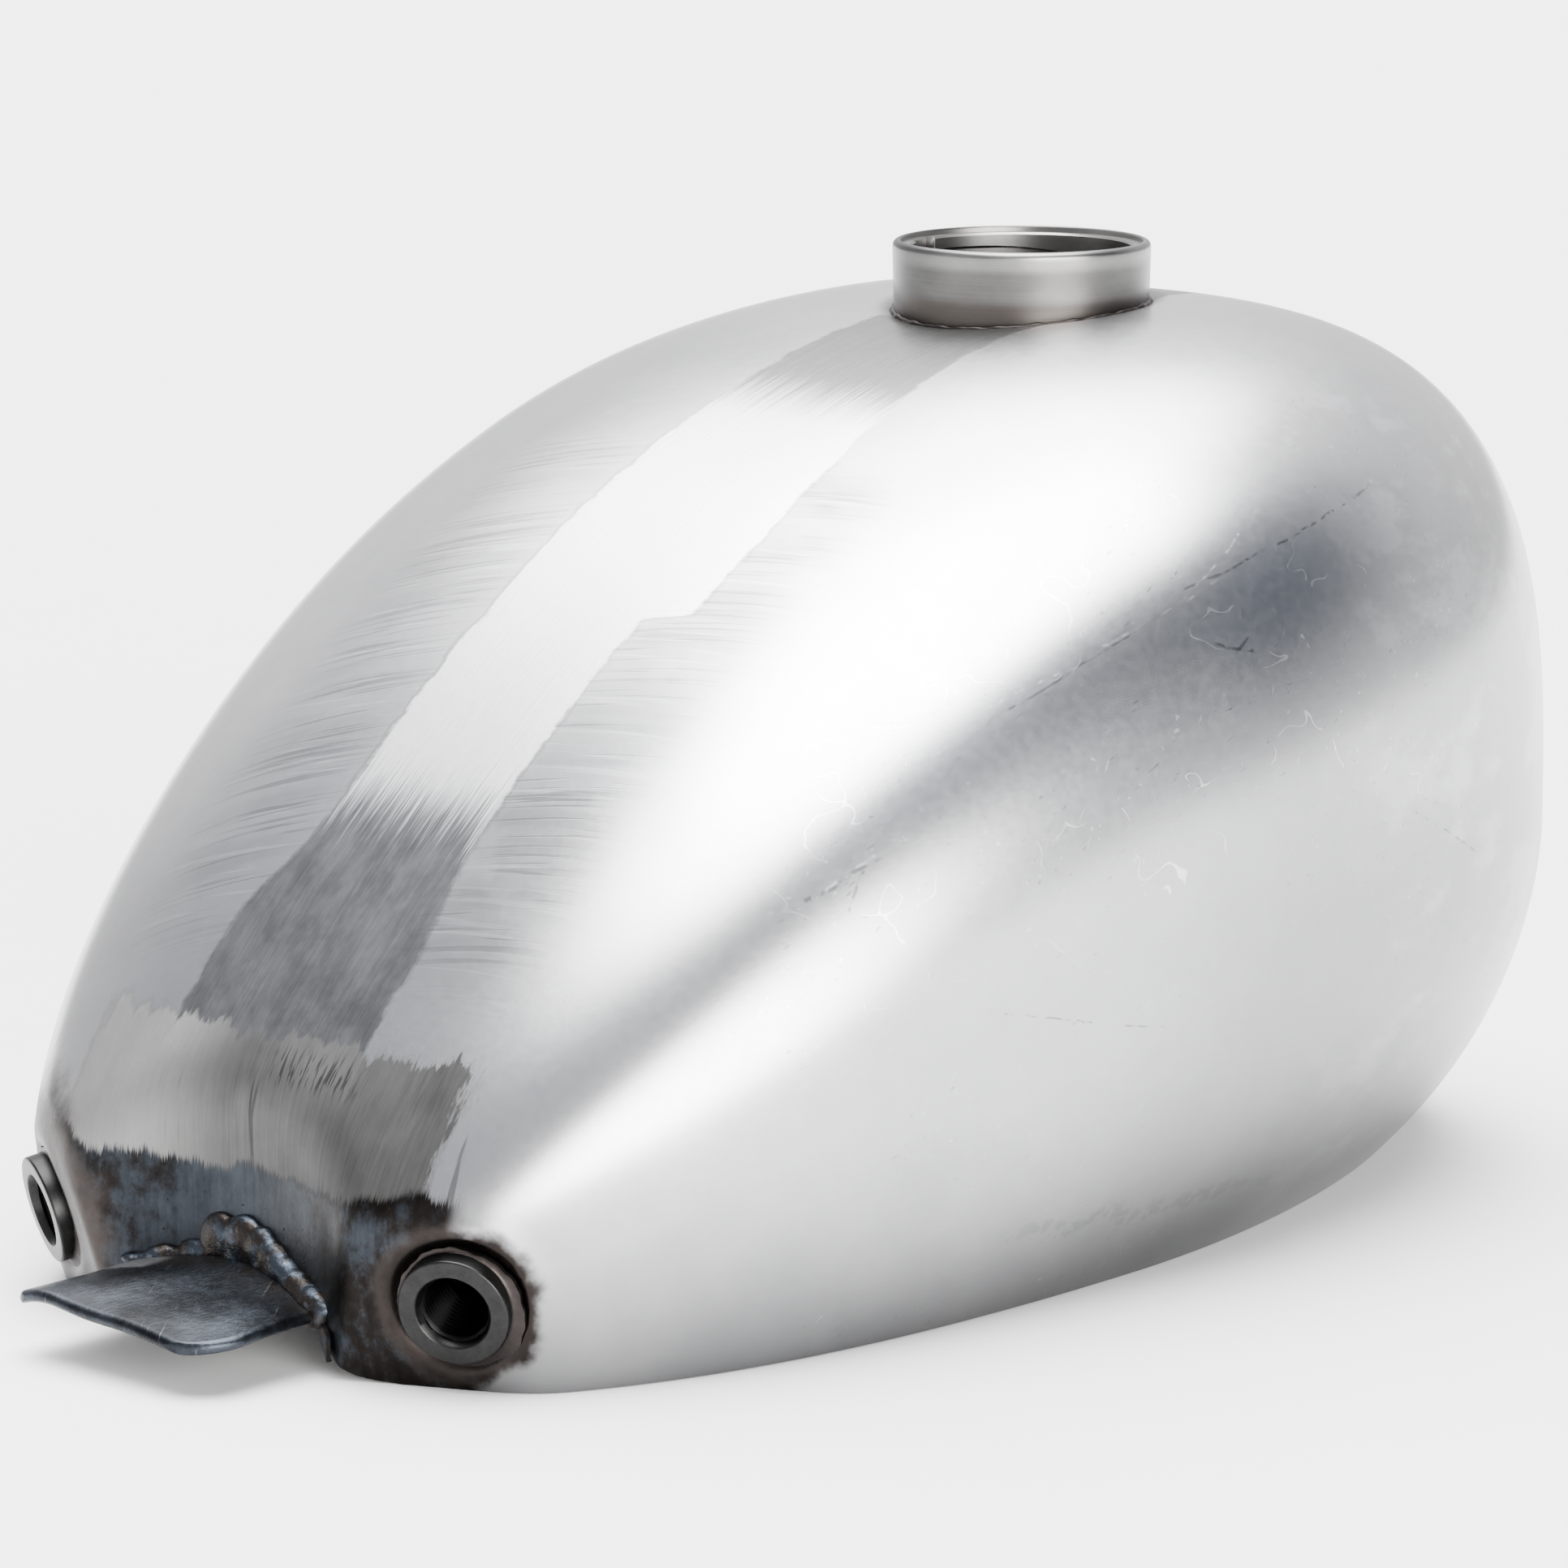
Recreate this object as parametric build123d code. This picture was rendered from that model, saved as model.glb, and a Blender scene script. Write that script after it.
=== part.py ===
from build123d import *
from math import cos, pi, radians, sin, sqrt
import os

# A small steel motorcycle fuel tank. +Y points to the front of the motorcycle, +X to the rider's
# right and +Z up. The origin is on the ground plane of the lower rim, under the middle of the
# whole assembly. Everything is in millimetres.

# ------------------------------------------------------------------ driving dimensions: the body
SHEET = 1.6                # thickness of the pressed steel
NOSE_Y = 211.0             # front end of the body
SEAT_Y = -189.0            # rear end of the body, before the end face is pressed in
SEAT_Z = 10.0              # height of the body's pole at the seat end
NOSE_Z = 36.8              # height of the body's pole at the front
SEAT_PLAN_POWER = 5.0      # bluntness of the seat end seen from above
SEAT_SIDE_POWER = 2.2      # bluntness of the seat end seen from the side
NOSE_POWER = 2.0           # the front end is elliptical both ways
UPPER_POWER = 3.1          # squareness of a section above its widest height
LOWER_POWER = 1.75         # the same below it
KEEL_DEPTH = 143.5         # depth of the full lower curve, before the rim cuts it off
HALF_WIDTH = (138.0, 35.5, -5.8, 20.9)        # polynomial in position, -1 at the seat end, +1 at the nose
CROWN_RISE = (171.5, 58.3, -3.9, 61.5, 51.3)  # height of the ridge above the line of the poles
WAIST_HEIGHT = (78.8, 44.0)                   # height at which a section is widest

STATIONS = 19              # sections along the body
POINTS_PER_QUARTER = 9     # spline points on each quarter of a section
END_ANGLE = 0.05           # how near to a pole the first and last sections lie, radians

# ------------------------------------------------------------------ driving dimensions: fittings
END_FACE_Y = -170.5        # middle of the hollow end face between the outlets
END_FACE_RADIUS = 83.0

NECK_Y = 95.0
NECK_RADIUS = 31.75        # 2.5 in collar
NECK_WALL = 2.0
NECK_TOP = 225.6
NECK_BOTTOM = 196.0
NECK_RIM_HEIGHT = 4.4
COLLAR_RADIUS = 31.15      # the collar is turned down to this below its rim
NECK_ROUND = 1.6           # rounding of the rim's outer edge
NECK_BEAD = 1.6
MOUTH_RADIUS = 27.0        # opening of the bayonet ring
BAYONET_LIP = 1.6
BAYONET_DEPTH = 8.0
BAYONET_DROP = 1.4         # the ring sits this far below the rim
BAYONET_NOTCH = 9.0        # width of each of the two notches that the cap's tabs pass
BAYONET_NOTCH_DEPTH = 2.2
BAYONET_TURN = 14.0        # where the notches lie, degrees from +X

BUNG_X = 66.5
BUNG_Y = -171.4
BUNG_Z = 19.2
BUNG_SPLAY = 25.8          # degrees outwards from straight back
BUNG_DROP = 14.3           # degrees downwards
BUNG_RADIUS = 12.7         # 1 in bar
BUNG_LENGTH = 19.0
BUNG_PROUD = 3.0           # how far the face stands out of the body
BUNG_BORE = 7.25           # tapping size for 3/8 in pipe thread
BUNG_MOUTH = 8.6
BUNG_EDGE = 0.6
BUNG_BEAD = 5.0

TONGUE_HALF_WIDTH = 31.0
TONGUE_TIP_Y = -212.0
TONGUE_CORNER_LEFT = 4.5
TONGUE_CORNER_RIGHT = 9.0
TONGUE_SHEET = 3.0
TONGUE_ROOT_Z = 14.8       # top of the plate at its two sides, at the root
TONGUE_ROOT_ARCH = 5.0     # the middle stands this much higher
TONGUE_TIP_Z = 14.6        # top of the plate at the tip, halfway between its two sides
TONGUE_TIP_TILT = 1.9      # the left side of the tip is bent up and the right side down by this
TONGUE_TIP_SAG = 0.4       # the middle of the tip hangs this much under a straight line
TONGUE_BEAD = 4.0

TUNNEL_HALF_WIDTH = 33.0
TUNNEL_REAR_SIDE_Z = 9.3   # height of the straight sides under the tongue
TUNNEL_REAR_CROWN_Z = 16.1
TUNNEL_FRONT_SIDE_Z = 44.0
TUNNEL_FRONT_CROWN_Z = 76.0

FLOOR_RECESS = 2.4         # the floor plates sit this far above the rim
BEAD = 3.0                 # width of the hidden weld beads
BEAD_TOP_GAP = 0.6         # the beads stay this far above the rim

BOSS_X = 60.0
BOSS_Y = 118.0
BOSS_RADIUS = 11.0
BOSS_LENGTH = 22.0
BOSS_BORE = 3.4            # tapping size for M8
BOSS_BORE_DEPTH = 16.0

SEAM_HALF_WIDTH = 1.5
MOUTH_BEAD = 1.3

BODY_LENGTH = NOSE_Y - SEAT_Y
BODY_MIDDLE_Y = (NOSE_Y + SEAT_Y) / 2
BIG = 700.0


# ------------------------------------------------------------------ the body's shape
def polynomial(coefficients, position):
    return sum(value * position ** power for power, value in enumerate(coefficients))


def end_taper(position, seat_power):
    power = seat_power if position < 0 else NOSE_POWER
    return (1 - abs(position) ** power) ** (1 / power)


def station(angle, inset):
    """Y, half width, crown, waist and keel heights of one section. The angle runs from 0 at the
    seat end's pole to pi at the nose's pole."""
    position = -cos(angle)
    plan = end_taper(position, SEAT_PLAN_POWER)
    side = end_taper(position, SEAT_SIDE_POWER)
    pole = SEAT_Z + (NOSE_Z - SEAT_Z) * (position + 1) / 2
    y = BODY_MIDDLE_Y + (BODY_LENGTH / 2 - inset) * position
    half_width = plan * (polynomial(HALF_WIDTH, position) - inset)
    crown = pole + side * (polynomial(CROWN_RISE, position) - inset)
    waist = pole + side * (polynomial(WAIST_HEIGHT, position) - pole)
    keel = waist - (KEEL_DEPTH - inset) * sqrt(sin(angle))
    return y, half_width, crown, waist, keel


def half_section(angle, inset):
    """The right half of one section: a spline from the crown over the waist to the keel, closed
    by a line on the centre plane."""
    y, half_width, crown, waist, keel = station(angle, inset)
    points = []
    for step in range(POINTS_PER_QUARTER):
        turn = pi / 2 * step / (POINTS_PER_QUARTER - 1)
        x = half_width * sin(turn) ** (2 / UPPER_POWER)
        z = waist + (crown - waist) * cos(turn) ** (2 / UPPER_POWER)
        points.append((x, y, z))
    for step in range(1, POINTS_PER_QUARTER):
        turn = pi / 2 * step / (POINTS_PER_QUARTER - 1)
        x = half_width * cos(turn) ** (2 / LOWER_POWER)
        z = waist - (waist - keel) * sin(turn) ** (2 / LOWER_POWER)
        points.append((x, y, z))
    points[0] = (0, y, crown)
    points[-1] = (0, y, keel)
    curve = Edge.make_spline([Vector(p) for p in points], tangents=[Vector(1, 0, 0), Vector(-1, 0, 0)])
    closing = Edge.make_line(points[-1], points[0])
    return Face(Wire([curve, closing]))


def bung_plane(side, depth):
    """A plane square to the outlet on one side, depth mm inwards from the outlet's face."""
    splay = radians(BUNG_SPLAY)
    drop = radians(BUNG_DROP)
    outwards = Vector(side * sin(splay) * cos(drop), -cos(splay) * cos(drop), -sin(drop))
    face = Vector(side * BUNG_X, BUNG_Y, BUNG_Z)
    return Plane(origin=face - outwards * depth, x_dir=(1, 0, 0), z_dir=outwards)


def half_body(inset):
    """The right half of the body as one solid, inset inwards from its outer surface, with the
    hollow end face and the flat for the outlet, and cut off level along the lower rim."""
    angles = [END_ANGLE + (pi - 2 * END_ANGLE) * n / (STATIONS - 1) for n in range(STATIONS)]
    solid = loft([half_section(angle, inset) for angle in angles])
    scoop_middle = END_FACE_Y - END_FACE_RADIUS
    scoop = Pos(0, scoop_middle, 0) * Cylinder(END_FACE_RADIUS + inset, BIG)
    upward = (Align.CENTER, Align.CENTER, Align.MIN)
    downward = (Align.CENTER, Align.CENTER, Align.MAX)
    flat = bung_plane(1, BUNG_PROUD + inset) * Box(BIG, BIG, BIG, align=upward)
    below = Box(BIG, BIG, BIG, align=downward)
    return solid - scoop - flat - below


def both_halves(right_half):
    return right_half + right_half.mirror(Plane.YZ)


# ------------------------------------------------------------------ the tunnel
def arch_face(y, half_width, side_z, crown_z, base_z):
    """An upright arched section: straight sides up to side_z, then an arc over crown_z."""
    left_foot = (-half_width, y, base_z)
    left_top = (-half_width, y, side_z)
    crown = (0, y, crown_z)
    right_top = (half_width, y, side_z)
    right_foot = (half_width, y, base_z)
    edges = [
        Edge.make_line(left_foot, left_top),
        Edge.make_three_point_arc(left_top, crown, right_top),
        Edge.make_line(right_top, right_foot),
        Edge.make_line(right_foot, left_foot),
    ]
    return Face(Wire(edges))


def tunnel_form(grow):
    """The solid form of the tunnel's outer face, grown by grow mm at its top and sides."""
    rear_y = SEAT_Y - 40
    front_y = NOSE_Y + 30
    slope_side = (TUNNEL_FRONT_SIDE_Z - TUNNEL_REAR_SIDE_Z) / BODY_LENGTH
    slope_crown = (TUNNEL_FRONT_CROWN_Z - TUNNEL_REAR_CROWN_Z) / BODY_LENGTH
    faces = []
    for y in (rear_y, front_y):
        side_z = TUNNEL_REAR_SIDE_Z + slope_side * (y - SEAT_Y)
        crown_z = TUNNEL_REAR_CROWN_Z + slope_crown * (y - SEAT_Y)
        faces.append(arch_face(y, TUNNEL_HALF_WIDTH + grow, side_z, crown_z + grow, -20))
    return loft(faces, ruled=True)


# ------------------------------------------------------------------ parts
def slab(low_z, high_z):
    return Pos(0, 0, low_z) * Box(BIG, BIG, high_z - low_z, align=(Align.CENTER, Align.CENTER, Align.MIN))


def neck_cylinder(radius, low_z, high_z):
    return Pos(0, NECK_Y, (low_z + high_z) / 2) * Cylinder(radius, high_z - low_z)


def bung_cylinder(side, radius, front_depth, back_depth):
    """A cylinder on an outlet's axis, between two depths behind the outlet's face."""
    return bung_plane(side, (front_depth + back_depth) / 2) * Cylinder(radius, back_depth - front_depth)


def boss_cylinder(radius, low_z, high_z):
    return Pos(BOSS_X, BOSS_Y, (low_z + high_z) / 2) * Cylinder(radius, high_z - low_z)


def revolved(outline):
    """A ring turned about the upright axis from an outline of (radius, height) points."""
    points = [Vector(radius, 0, height) for radius, height in outline]
    return revolve(Face(Wire.make_polygon(points, close=True)), axis=Axis.Z)


def make_shell(outer, inner, tunnel):
    shell = outer - inner - tunnel
    shell -= Box(2 * SEAM_HALF_WIDTH, BIG, BIG)
    shell -= neck_cylinder(COLLAR_RADIUS, NECK_BOTTOM - 20, NECK_TOP)
    return shell - bung_cylinder(1, BUNG_RADIUS, -5, BUNG_LENGTH)


def make_seam_weld(outer_full, inner_full, tunnel):
    """The weld that fills the gap between the two pressings, ground flush with both."""
    weld = (outer_full & Box(2 * SEAM_HALF_WIDTH, BIG, BIG)) - inner_full - tunnel
    return weld - neck_cylinder(COLLAR_RADIUS, NECK_BOTTOM - 20, NECK_TOP)


def make_neck():
    """A turned collar: a straight wall, a slight step, then a rounded rim."""
    bore = NECK_RADIUS - NECK_WALL
    rim_low = NECK_TOP - NECK_RIM_HEIGHT
    step_top = rim_low + NECK_RADIUS - COLLAR_RADIUS
    outline = [
        (bore, NECK_BOTTOM),
        (COLLAR_RADIUS, NECK_BOTTOM),
        (COLLAR_RADIUS, rim_low),
        (NECK_RADIUS, step_top),
        (NECK_RADIUS, NECK_TOP - NECK_ROUND),
        (NECK_RADIUS - NECK_ROUND * 0.3, NECK_TOP - NECK_ROUND * 0.3),
        (NECK_RADIUS - NECK_ROUND, NECK_TOP),
        (bore, NECK_TOP),
    ]
    return Pos(0, NECK_Y, 0) * revolved(outline)


def make_bayonet_ring():
    """A pressed ring inside the collar: a flat lip with two notches for the cap's tabs, and a
    skirt below it."""
    top = NECK_TOP - BAYONET_DROP
    bore = NECK_RADIUS - NECK_WALL
    skirt = MOUTH_RADIUS + BAYONET_LIP
    outline = [
        (MOUTH_RADIUS, top - BAYONET_DEPTH),
        (skirt, top - BAYONET_DEPTH),
        (skirt, top - BAYONET_LIP),
        (bore, top - BAYONET_LIP),
        (bore, top),
        (MOUTH_RADIUS, top),
    ]
    ring = revolved(outline)
    for turn in (BAYONET_TURN, BAYONET_TURN + 180):
        notch = Pos(MOUTH_RADIUS, 0, top) * Box(2 * BAYONET_NOTCH_DEPTH, BAYONET_NOTCH, 2 * BAYONET_LIP)
        ring -= Rot(0, 0, turn) * notch
    return Pos(0, NECK_Y, 0) * ring


def make_neck_weld(outer_full):
    """A low bead that follows the body around the collar."""
    band = neck_cylinder(COLLAR_RADIUS + NECK_BEAD, NECK_BOTTOM, NECK_TOP)
    band -= neck_cylinder(COLLAR_RADIUS, NECK_BOTTOM - 1, NECK_TOP + 1)
    return (band & (Pos(0, 0, NECK_BEAD * 0.6) * outer_full)) - outer_full


def make_bung(side):
    """A turned steel outlet with a broken edge, a plain tapping-size bore and a wide mouth."""
    outline = [
        (BUNG_BORE, -BUNG_LENGTH),
        (BUNG_RADIUS, -BUNG_LENGTH),
        (BUNG_RADIUS, -BUNG_EDGE),
        (BUNG_RADIUS - BUNG_EDGE, 0),
        (BUNG_MOUTH, 0),
        (BUNG_BORE, BUNG_BORE - BUNG_MOUTH),
    ]
    return bung_plane(side, 0) * revolved(outline)


def make_bung_weld(side, outer_full):
    """A fillet of braze between an outlet and the body."""
    outline = [
        (BUNG_RADIUS, -BUNG_PROUD - 2),
        (BUNG_RADIUS + BUNG_BEAD, -BUNG_PROUD - 2),
        (BUNG_RADIUS + BUNG_BEAD, -BUNG_PROUD + 0.3),
        (BUNG_RADIUS + BUNG_BEAD * 0.35, -BUNG_PROUD + 0.8),
        (BUNG_RADIUS, -BUNG_PROUD + 1.8),
    ]
    return bung_plane(side, 0) * revolved(outline) - outer_full


def tongue_section(y, middle_z, side_z, tilt, grow):
    """The plate's section: an arc over its width, TONGUE_SHEET thick, grown by grow above and at
    both sides. The left side stands tilt higher than side_z, and the right side tilt lower."""
    half = TONGUE_HALF_WIDTH + grow
    left = side_z + tilt
    right = side_z - tilt
    edges = [
        Edge.make_three_point_arc((-half, y, left + grow), (0, y, middle_z + grow), (half, y, right + grow)),
        Edge.make_line((half, y, right + grow), (half, y, right - TONGUE_SHEET)),
        Edge.make_three_point_arc(
            (half, y, right - TONGUE_SHEET), (0, y, middle_z - TONGUE_SHEET), (-half, y, left - TONGUE_SHEET)
        ),
        Edge.make_line((-half, y, left - TONGUE_SHEET), (-half, y, left + grow)),
    ]
    return Face(Wire(edges))


def tongue_bar(grow):
    """The bent plate before its corners are rounded and its root is trimmed."""
    root = tongue_section(END_FACE_Y, TONGUE_ROOT_Z + TONGUE_ROOT_ARCH, TONGUE_ROOT_Z, 0, grow)
    tip = tongue_section(TONGUE_TIP_Y, TONGUE_TIP_Z - TONGUE_TIP_SAG, TONGUE_TIP_Z, TONGUE_TIP_TILT, grow)
    return loft([root, tip], ruled=True)


def make_tongue(outer_full):
    half = TONGUE_HALF_WIDTH
    tip = TONGUE_TIP_Y
    left = TONGUE_CORNER_LEFT
    right = TONGUE_CORNER_RIGHT
    diagonal = 1 - sqrt(0.5)
    edges = [
        Edge.make_line((-half, END_FACE_Y), (-half, tip + left)),
        Edge.make_three_point_arc(
            (-half, tip + left), (-half + diagonal * left, tip + diagonal * left), (-half + left, tip)
        ),
        Edge.make_line((-half + left, tip), (half - right, tip)),
        Edge.make_three_point_arc(
            (half - right, tip), (half - diagonal * right, tip + diagonal * right), (half, tip + right)
        ),
        Edge.make_line((half, tip + right), (half, END_FACE_Y)),
        Edge.make_line((half, END_FACE_Y), (-half, END_FACE_Y)),
    ]
    plan = Solid.extrude(Face(Wire(edges)), Vector(0, 0, BIG / 2))
    return (tongue_bar(0) & plan) - outer_full


def make_tongue_weld(outer_full, tunnel):
    """A thick bead along the plate's root, on the hollow end face."""
    face_middle = END_FACE_Y - END_FACE_RADIUS
    band = Pos(0, face_middle, 0) * (
        Cylinder(END_FACE_RADIUS, BIG) - Cylinder(END_FACE_RADIUS - TONGUE_BEAD, BIG)
    )
    bead = (tongue_bar(TONGUE_BEAD) & band) - outer_full - tongue_bar(0) - tunnel
    return largest(bead)


def largest(shape):
    return max(shape.solids(), key=lambda solid: solid.volume)


def make_tunnel(outer_full):
    trough = tunnel_form(0) - tunnel_form(-SHEET)
    return trough & outer_full


def make_floor(inner, tunnel):
    plate = inner & slab(FLOOR_RECESS, FLOOR_RECESS + SHEET)
    return plate - tunnel - boss_cylinder(BOSS_RADIUS, -1, BOSS_LENGTH)


def make_floor_weld(inner, inset_body, tunnel):
    bead = (inner - inset_body) & slab(BEAD_TOP_GAP, FLOOR_RECESS)
    return bead - tunnel


def make_tunnel_weld(inner, tunnel, floor_weld):
    bead = (tunnel_form(BEAD) - tunnel) & slab(BEAD_TOP_GAP, FLOOR_RECESS) & inner
    return bead - floor_weld - Pos(-BIG / 2, 0, 0) * Box(BIG, BIG, BIG)


def make_boss():
    """A blind threaded boss through the floor plate, open downwards."""
    return boss_cylinder(BOSS_RADIUS, BEAD_TOP_GAP, BOSS_LENGTH) - boss_cylinder(
        BOSS_BORE, -1, BEAD_TOP_GAP + BOSS_BORE_DEPTH
    )


def make_boss_weld():
    ring = boss_cylinder(BOSS_RADIUS + BEAD, BEAD_TOP_GAP + 0.4, FLOOR_RECESS)
    return ring - boss_cylinder(BOSS_RADIUS, -1, BOSS_LENGTH)


def make_mouth_weld(outer_full, away, *neighbours):
    """The bead that joins the tunnel's mouth to the body, on the outside; away is how far it
    stands out along Y."""
    skin = (Pos(0, away, 0) * outer_full) - outer_full
    bead = skin & (tunnel_form(BEAD) - tunnel_form(-SHEET)) & slab(BEAD_TOP_GAP, BIG / 2)
    for neighbour in neighbours:
        bead -= neighbour
    return bead


# ------------------------------------------------------------------ assembly
def mirrored(parts):
    """The given right-hand parts, and their mirror images for the left-hand side."""
    both = {}
    for name, shape in parts.items():
        both[name + "_right"] = shape
        both[name + "_left"] = shape.mirror(Plane.YZ)
    return both


def make_parts():
    outer = half_body(0)
    inner = half_body(SHEET)
    inset_body = half_body(SHEET + BEAD)
    outer_full = both_halves(outer)
    inner_full = both_halves(inner)
    tunnel = tunnel_form(0)

    floor_weld = make_floor_weld(inner, inset_body, tunnel)
    parts = mirrored({
        "shell": make_shell(outer, inner, tunnel),
        "petcock_bung": make_bung(1),
        "bung_weld": make_bung_weld(1, outer_full),
        "floor": make_floor(inner, tunnel),
        "floor_seam_weld": floor_weld,
        "tunnel_seam_weld": make_tunnel_weld(inner, tunnel, floor_weld),
        "front_mount_boss": make_boss(),
        "front_boss_weld": make_boss_weld(),
    })
    tongue = make_tongue(outer_full)
    tongue_weld = make_tongue_weld(outer_full, tunnel)
    parts["centre_seam_weld"] = make_seam_weld(outer_full, inner_full, tunnel)
    parts["filler_neck"] = make_neck()
    parts["filler_bayonet_ring"] = make_bayonet_ring()
    parts["filler_neck_weld"] = make_neck_weld(outer_full)
    parts["rear_mount_tongue"] = tongue
    parts["tongue_weld"] = tongue_weld
    parts["tunnel"] = make_tunnel(outer_full)
    parts["tunnel_mouth_weld_rear"] = make_mouth_weld(outer_full, -MOUTH_BEAD, tongue, tongue_weld)
    parts["tunnel_mouth_weld_front"] = make_mouth_weld(outer_full, MOUTH_BEAD)
    return parts


os.makedirs("parts", exist_ok=True)
for name, shape in make_parts().items():
    export_step(shape, "parts/" + name + ".step")
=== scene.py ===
from math import cos, pi, radians, sin, sqrt

import bmesh
import bpy
import numpy as np
from mathutils import Matrix, Vector


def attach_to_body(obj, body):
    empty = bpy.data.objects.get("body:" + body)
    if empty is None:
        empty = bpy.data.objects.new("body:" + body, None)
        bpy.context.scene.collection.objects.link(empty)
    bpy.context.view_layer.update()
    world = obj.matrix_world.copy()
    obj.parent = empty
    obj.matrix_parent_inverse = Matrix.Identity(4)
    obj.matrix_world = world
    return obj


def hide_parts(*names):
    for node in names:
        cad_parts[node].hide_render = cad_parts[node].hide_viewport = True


# A bare steel motorcycle fuel tank. +Y points to the front, +X to the rider's right, +Z up.
# Lengths are in metres; MM turns millimetres into metres.

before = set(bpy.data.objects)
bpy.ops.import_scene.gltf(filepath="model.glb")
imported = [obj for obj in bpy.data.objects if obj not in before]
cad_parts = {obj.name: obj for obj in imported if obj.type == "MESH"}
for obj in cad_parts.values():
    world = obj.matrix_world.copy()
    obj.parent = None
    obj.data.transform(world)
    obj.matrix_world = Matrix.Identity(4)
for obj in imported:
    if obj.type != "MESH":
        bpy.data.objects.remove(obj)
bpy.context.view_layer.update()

MM = 0.001

# ---- sizes, shared with the CAD model
SHEET = 1.6 * MM
NOSE_Y = 211.0 * MM
SEAT_Y = -189.0 * MM
SEAT_Z = 10.0 * MM
NOSE_Z = 36.8 * MM
SEAT_PLAN_POWER = 5.0
SEAT_SIDE_POWER = 2.2
NOSE_POWER = 2.0
UPPER_POWER = 3.1
LOWER_POWER = 1.75
KEEL_DEPTH = 143.5 * MM
HALF_WIDTH = np.array((138.0, 35.5, -5.8, 20.9)) * MM
CROWN_RISE = np.array((171.5, 58.3, -3.9, 61.5, 51.3)) * MM
WAIST_HEIGHT = np.array((78.8, 44.0)) * MM
BODY_LENGTH = NOSE_Y - SEAT_Y
BODY_MIDDLE_Y = (NOSE_Y + SEAT_Y) / 2

END_FACE_Y = -170.5 * MM
END_FACE_RADIUS = 83.0 * MM
END_FACE_BLEND = 7.0 * MM
FLAT_BLEND = 5.0 * MM
SEAM_HALF_WIDTH = 1.5 * MM

NECK_Y = 95.0 * MM
NECK_RADIUS = 31.75 * MM
COLLAR_RADIUS = 31.15 * MM
NECK_WALL = 2.0 * MM
NECK_TOP = 225.6 * MM
NECK_BOTTOM = 196.0 * MM
MOUTH_RADIUS = 27.0 * MM

BUNG_FACE = Vector((66.5, -171.4, 19.2)) * MM
BUNG_SPLAY = radians(25.8)
BUNG_DROP = radians(14.3)
BUNG_RADIUS = 12.7 * MM
BUNG_LENGTH = 19.0 * MM
BUNG_PROUD = 3.0 * MM
BUNG_BORE = 7.25 * MM
BUNG_MOUTH = 8.6 * MM

TUNNEL_HALF_WIDTH = 33.0 * MM
TUNNEL_REAR_SIDE_Z = 9.3 * MM
TUNNEL_REAR_CROWN_Z = 16.1 * MM
TUNNEL_FRONT_SIDE_Z = 44.0 * MM
TUNNEL_FRONT_CROWN_Z = 76.0 * MM

TONGUE_HALF_WIDTH = 31.0 * MM
TONGUE_TIP_Y = -212.0 * MM
TONGUE_CORNER_LEFT = 4.5 * MM
TONGUE_CORNER_RIGHT = 13.0 * MM
TONGUE_SHEET = 3.0 * MM
TONGUE_ROOT_Z = 14.8 * MM
TONGUE_ROOT_ARCH = 5.0 * MM
TONGUE_TIP_Z = 14.6 * MM
TONGUE_TIP_TILT = 1.9 * MM
TONGUE_EDGE_RADIUS = 1.6 * MM

# fine rings for the skins seen from outside, closer together near the seat end's pole
SKIN_ANGLES = 0.01 + (pi - 0.02) * np.linspace(0, 1, 320) ** 1.25


# ---- camera
def make_camera():
    """The photograph's view: a long lens, from behind and to the rider's right, a little above."""
    azimuth = radians(42.3)
    elevation = radians(10.9)
    distance = 1.6466
    focal_in_pixels = 8456.5
    image_side = 1932
    aim = Vector((-0.0015, 0.010, 0.1013))
    back = Vector((
        sin(azimuth) * cos(elevation),
        -cos(azimuth) * cos(elevation),
        sin(elevation),
    ))
    camera_data = bpy.data.cameras.new("camera")
    camera_data.sensor_width = 36.0
    camera_data.lens = camera_data.sensor_width * focal_in_pixels / image_side
    camera_data.clip_end = 50.0
    camera = link("camera", camera_data)
    camera.location = aim + back * distance
    camera.rotation_euler = (-back).to_track_quat("-Z", "Y").to_euler()
    bpy.context.scene.camera = camera


# ---- the body's shape
def polynomial(coefficients, position):
    return sum(value * position ** power for power, value in enumerate(coefficients))


def end_taper(position, seat_power):
    power = np.where(position < 0, seat_power, NOSE_POWER)
    return np.clip(1 - np.abs(position) ** power, 0, 1) ** (1 / power)


def smooth_step(low, high, value):
    t = np.clip((value - low) / (high - low), 0, 1)
    return t * t * (3 - 2 * t)


def smooth_excess(value, blend):
    """A rounded max(value, 0)."""
    t = np.clip(value / blend, -1, 1)
    rounded = blend * (t + 1) ** 2 / 4
    return np.where(value >= blend, value, np.where(value <= -blend, 0.0, rounded))


def bung_axis():
    return Vector((
        sin(BUNG_SPLAY) * cos(BUNG_DROP),
        -cos(BUNG_SPLAY) * cos(BUNG_DROP),
        -sin(BUNG_DROP),
    ))


def section_sizes(position, inset=0.0):
    """Half width, crown height and waist height at a position from -1, seat end, to 1, nose."""
    side = end_taper(position, SEAT_SIDE_POWER)
    pole = SEAT_Z + (NOSE_Z - SEAT_Z) * (position + 1) / 2
    half_width = end_taper(position, SEAT_PLAN_POWER) * (polynomial(HALF_WIDTH, position) - inset)
    crown = pole + side * (polynomial(CROWN_RISE, position) - inset)
    waist = pole + side * (polynomial(WAIST_HEIGHT, position) - pole)
    return half_width, crown, waist


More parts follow.
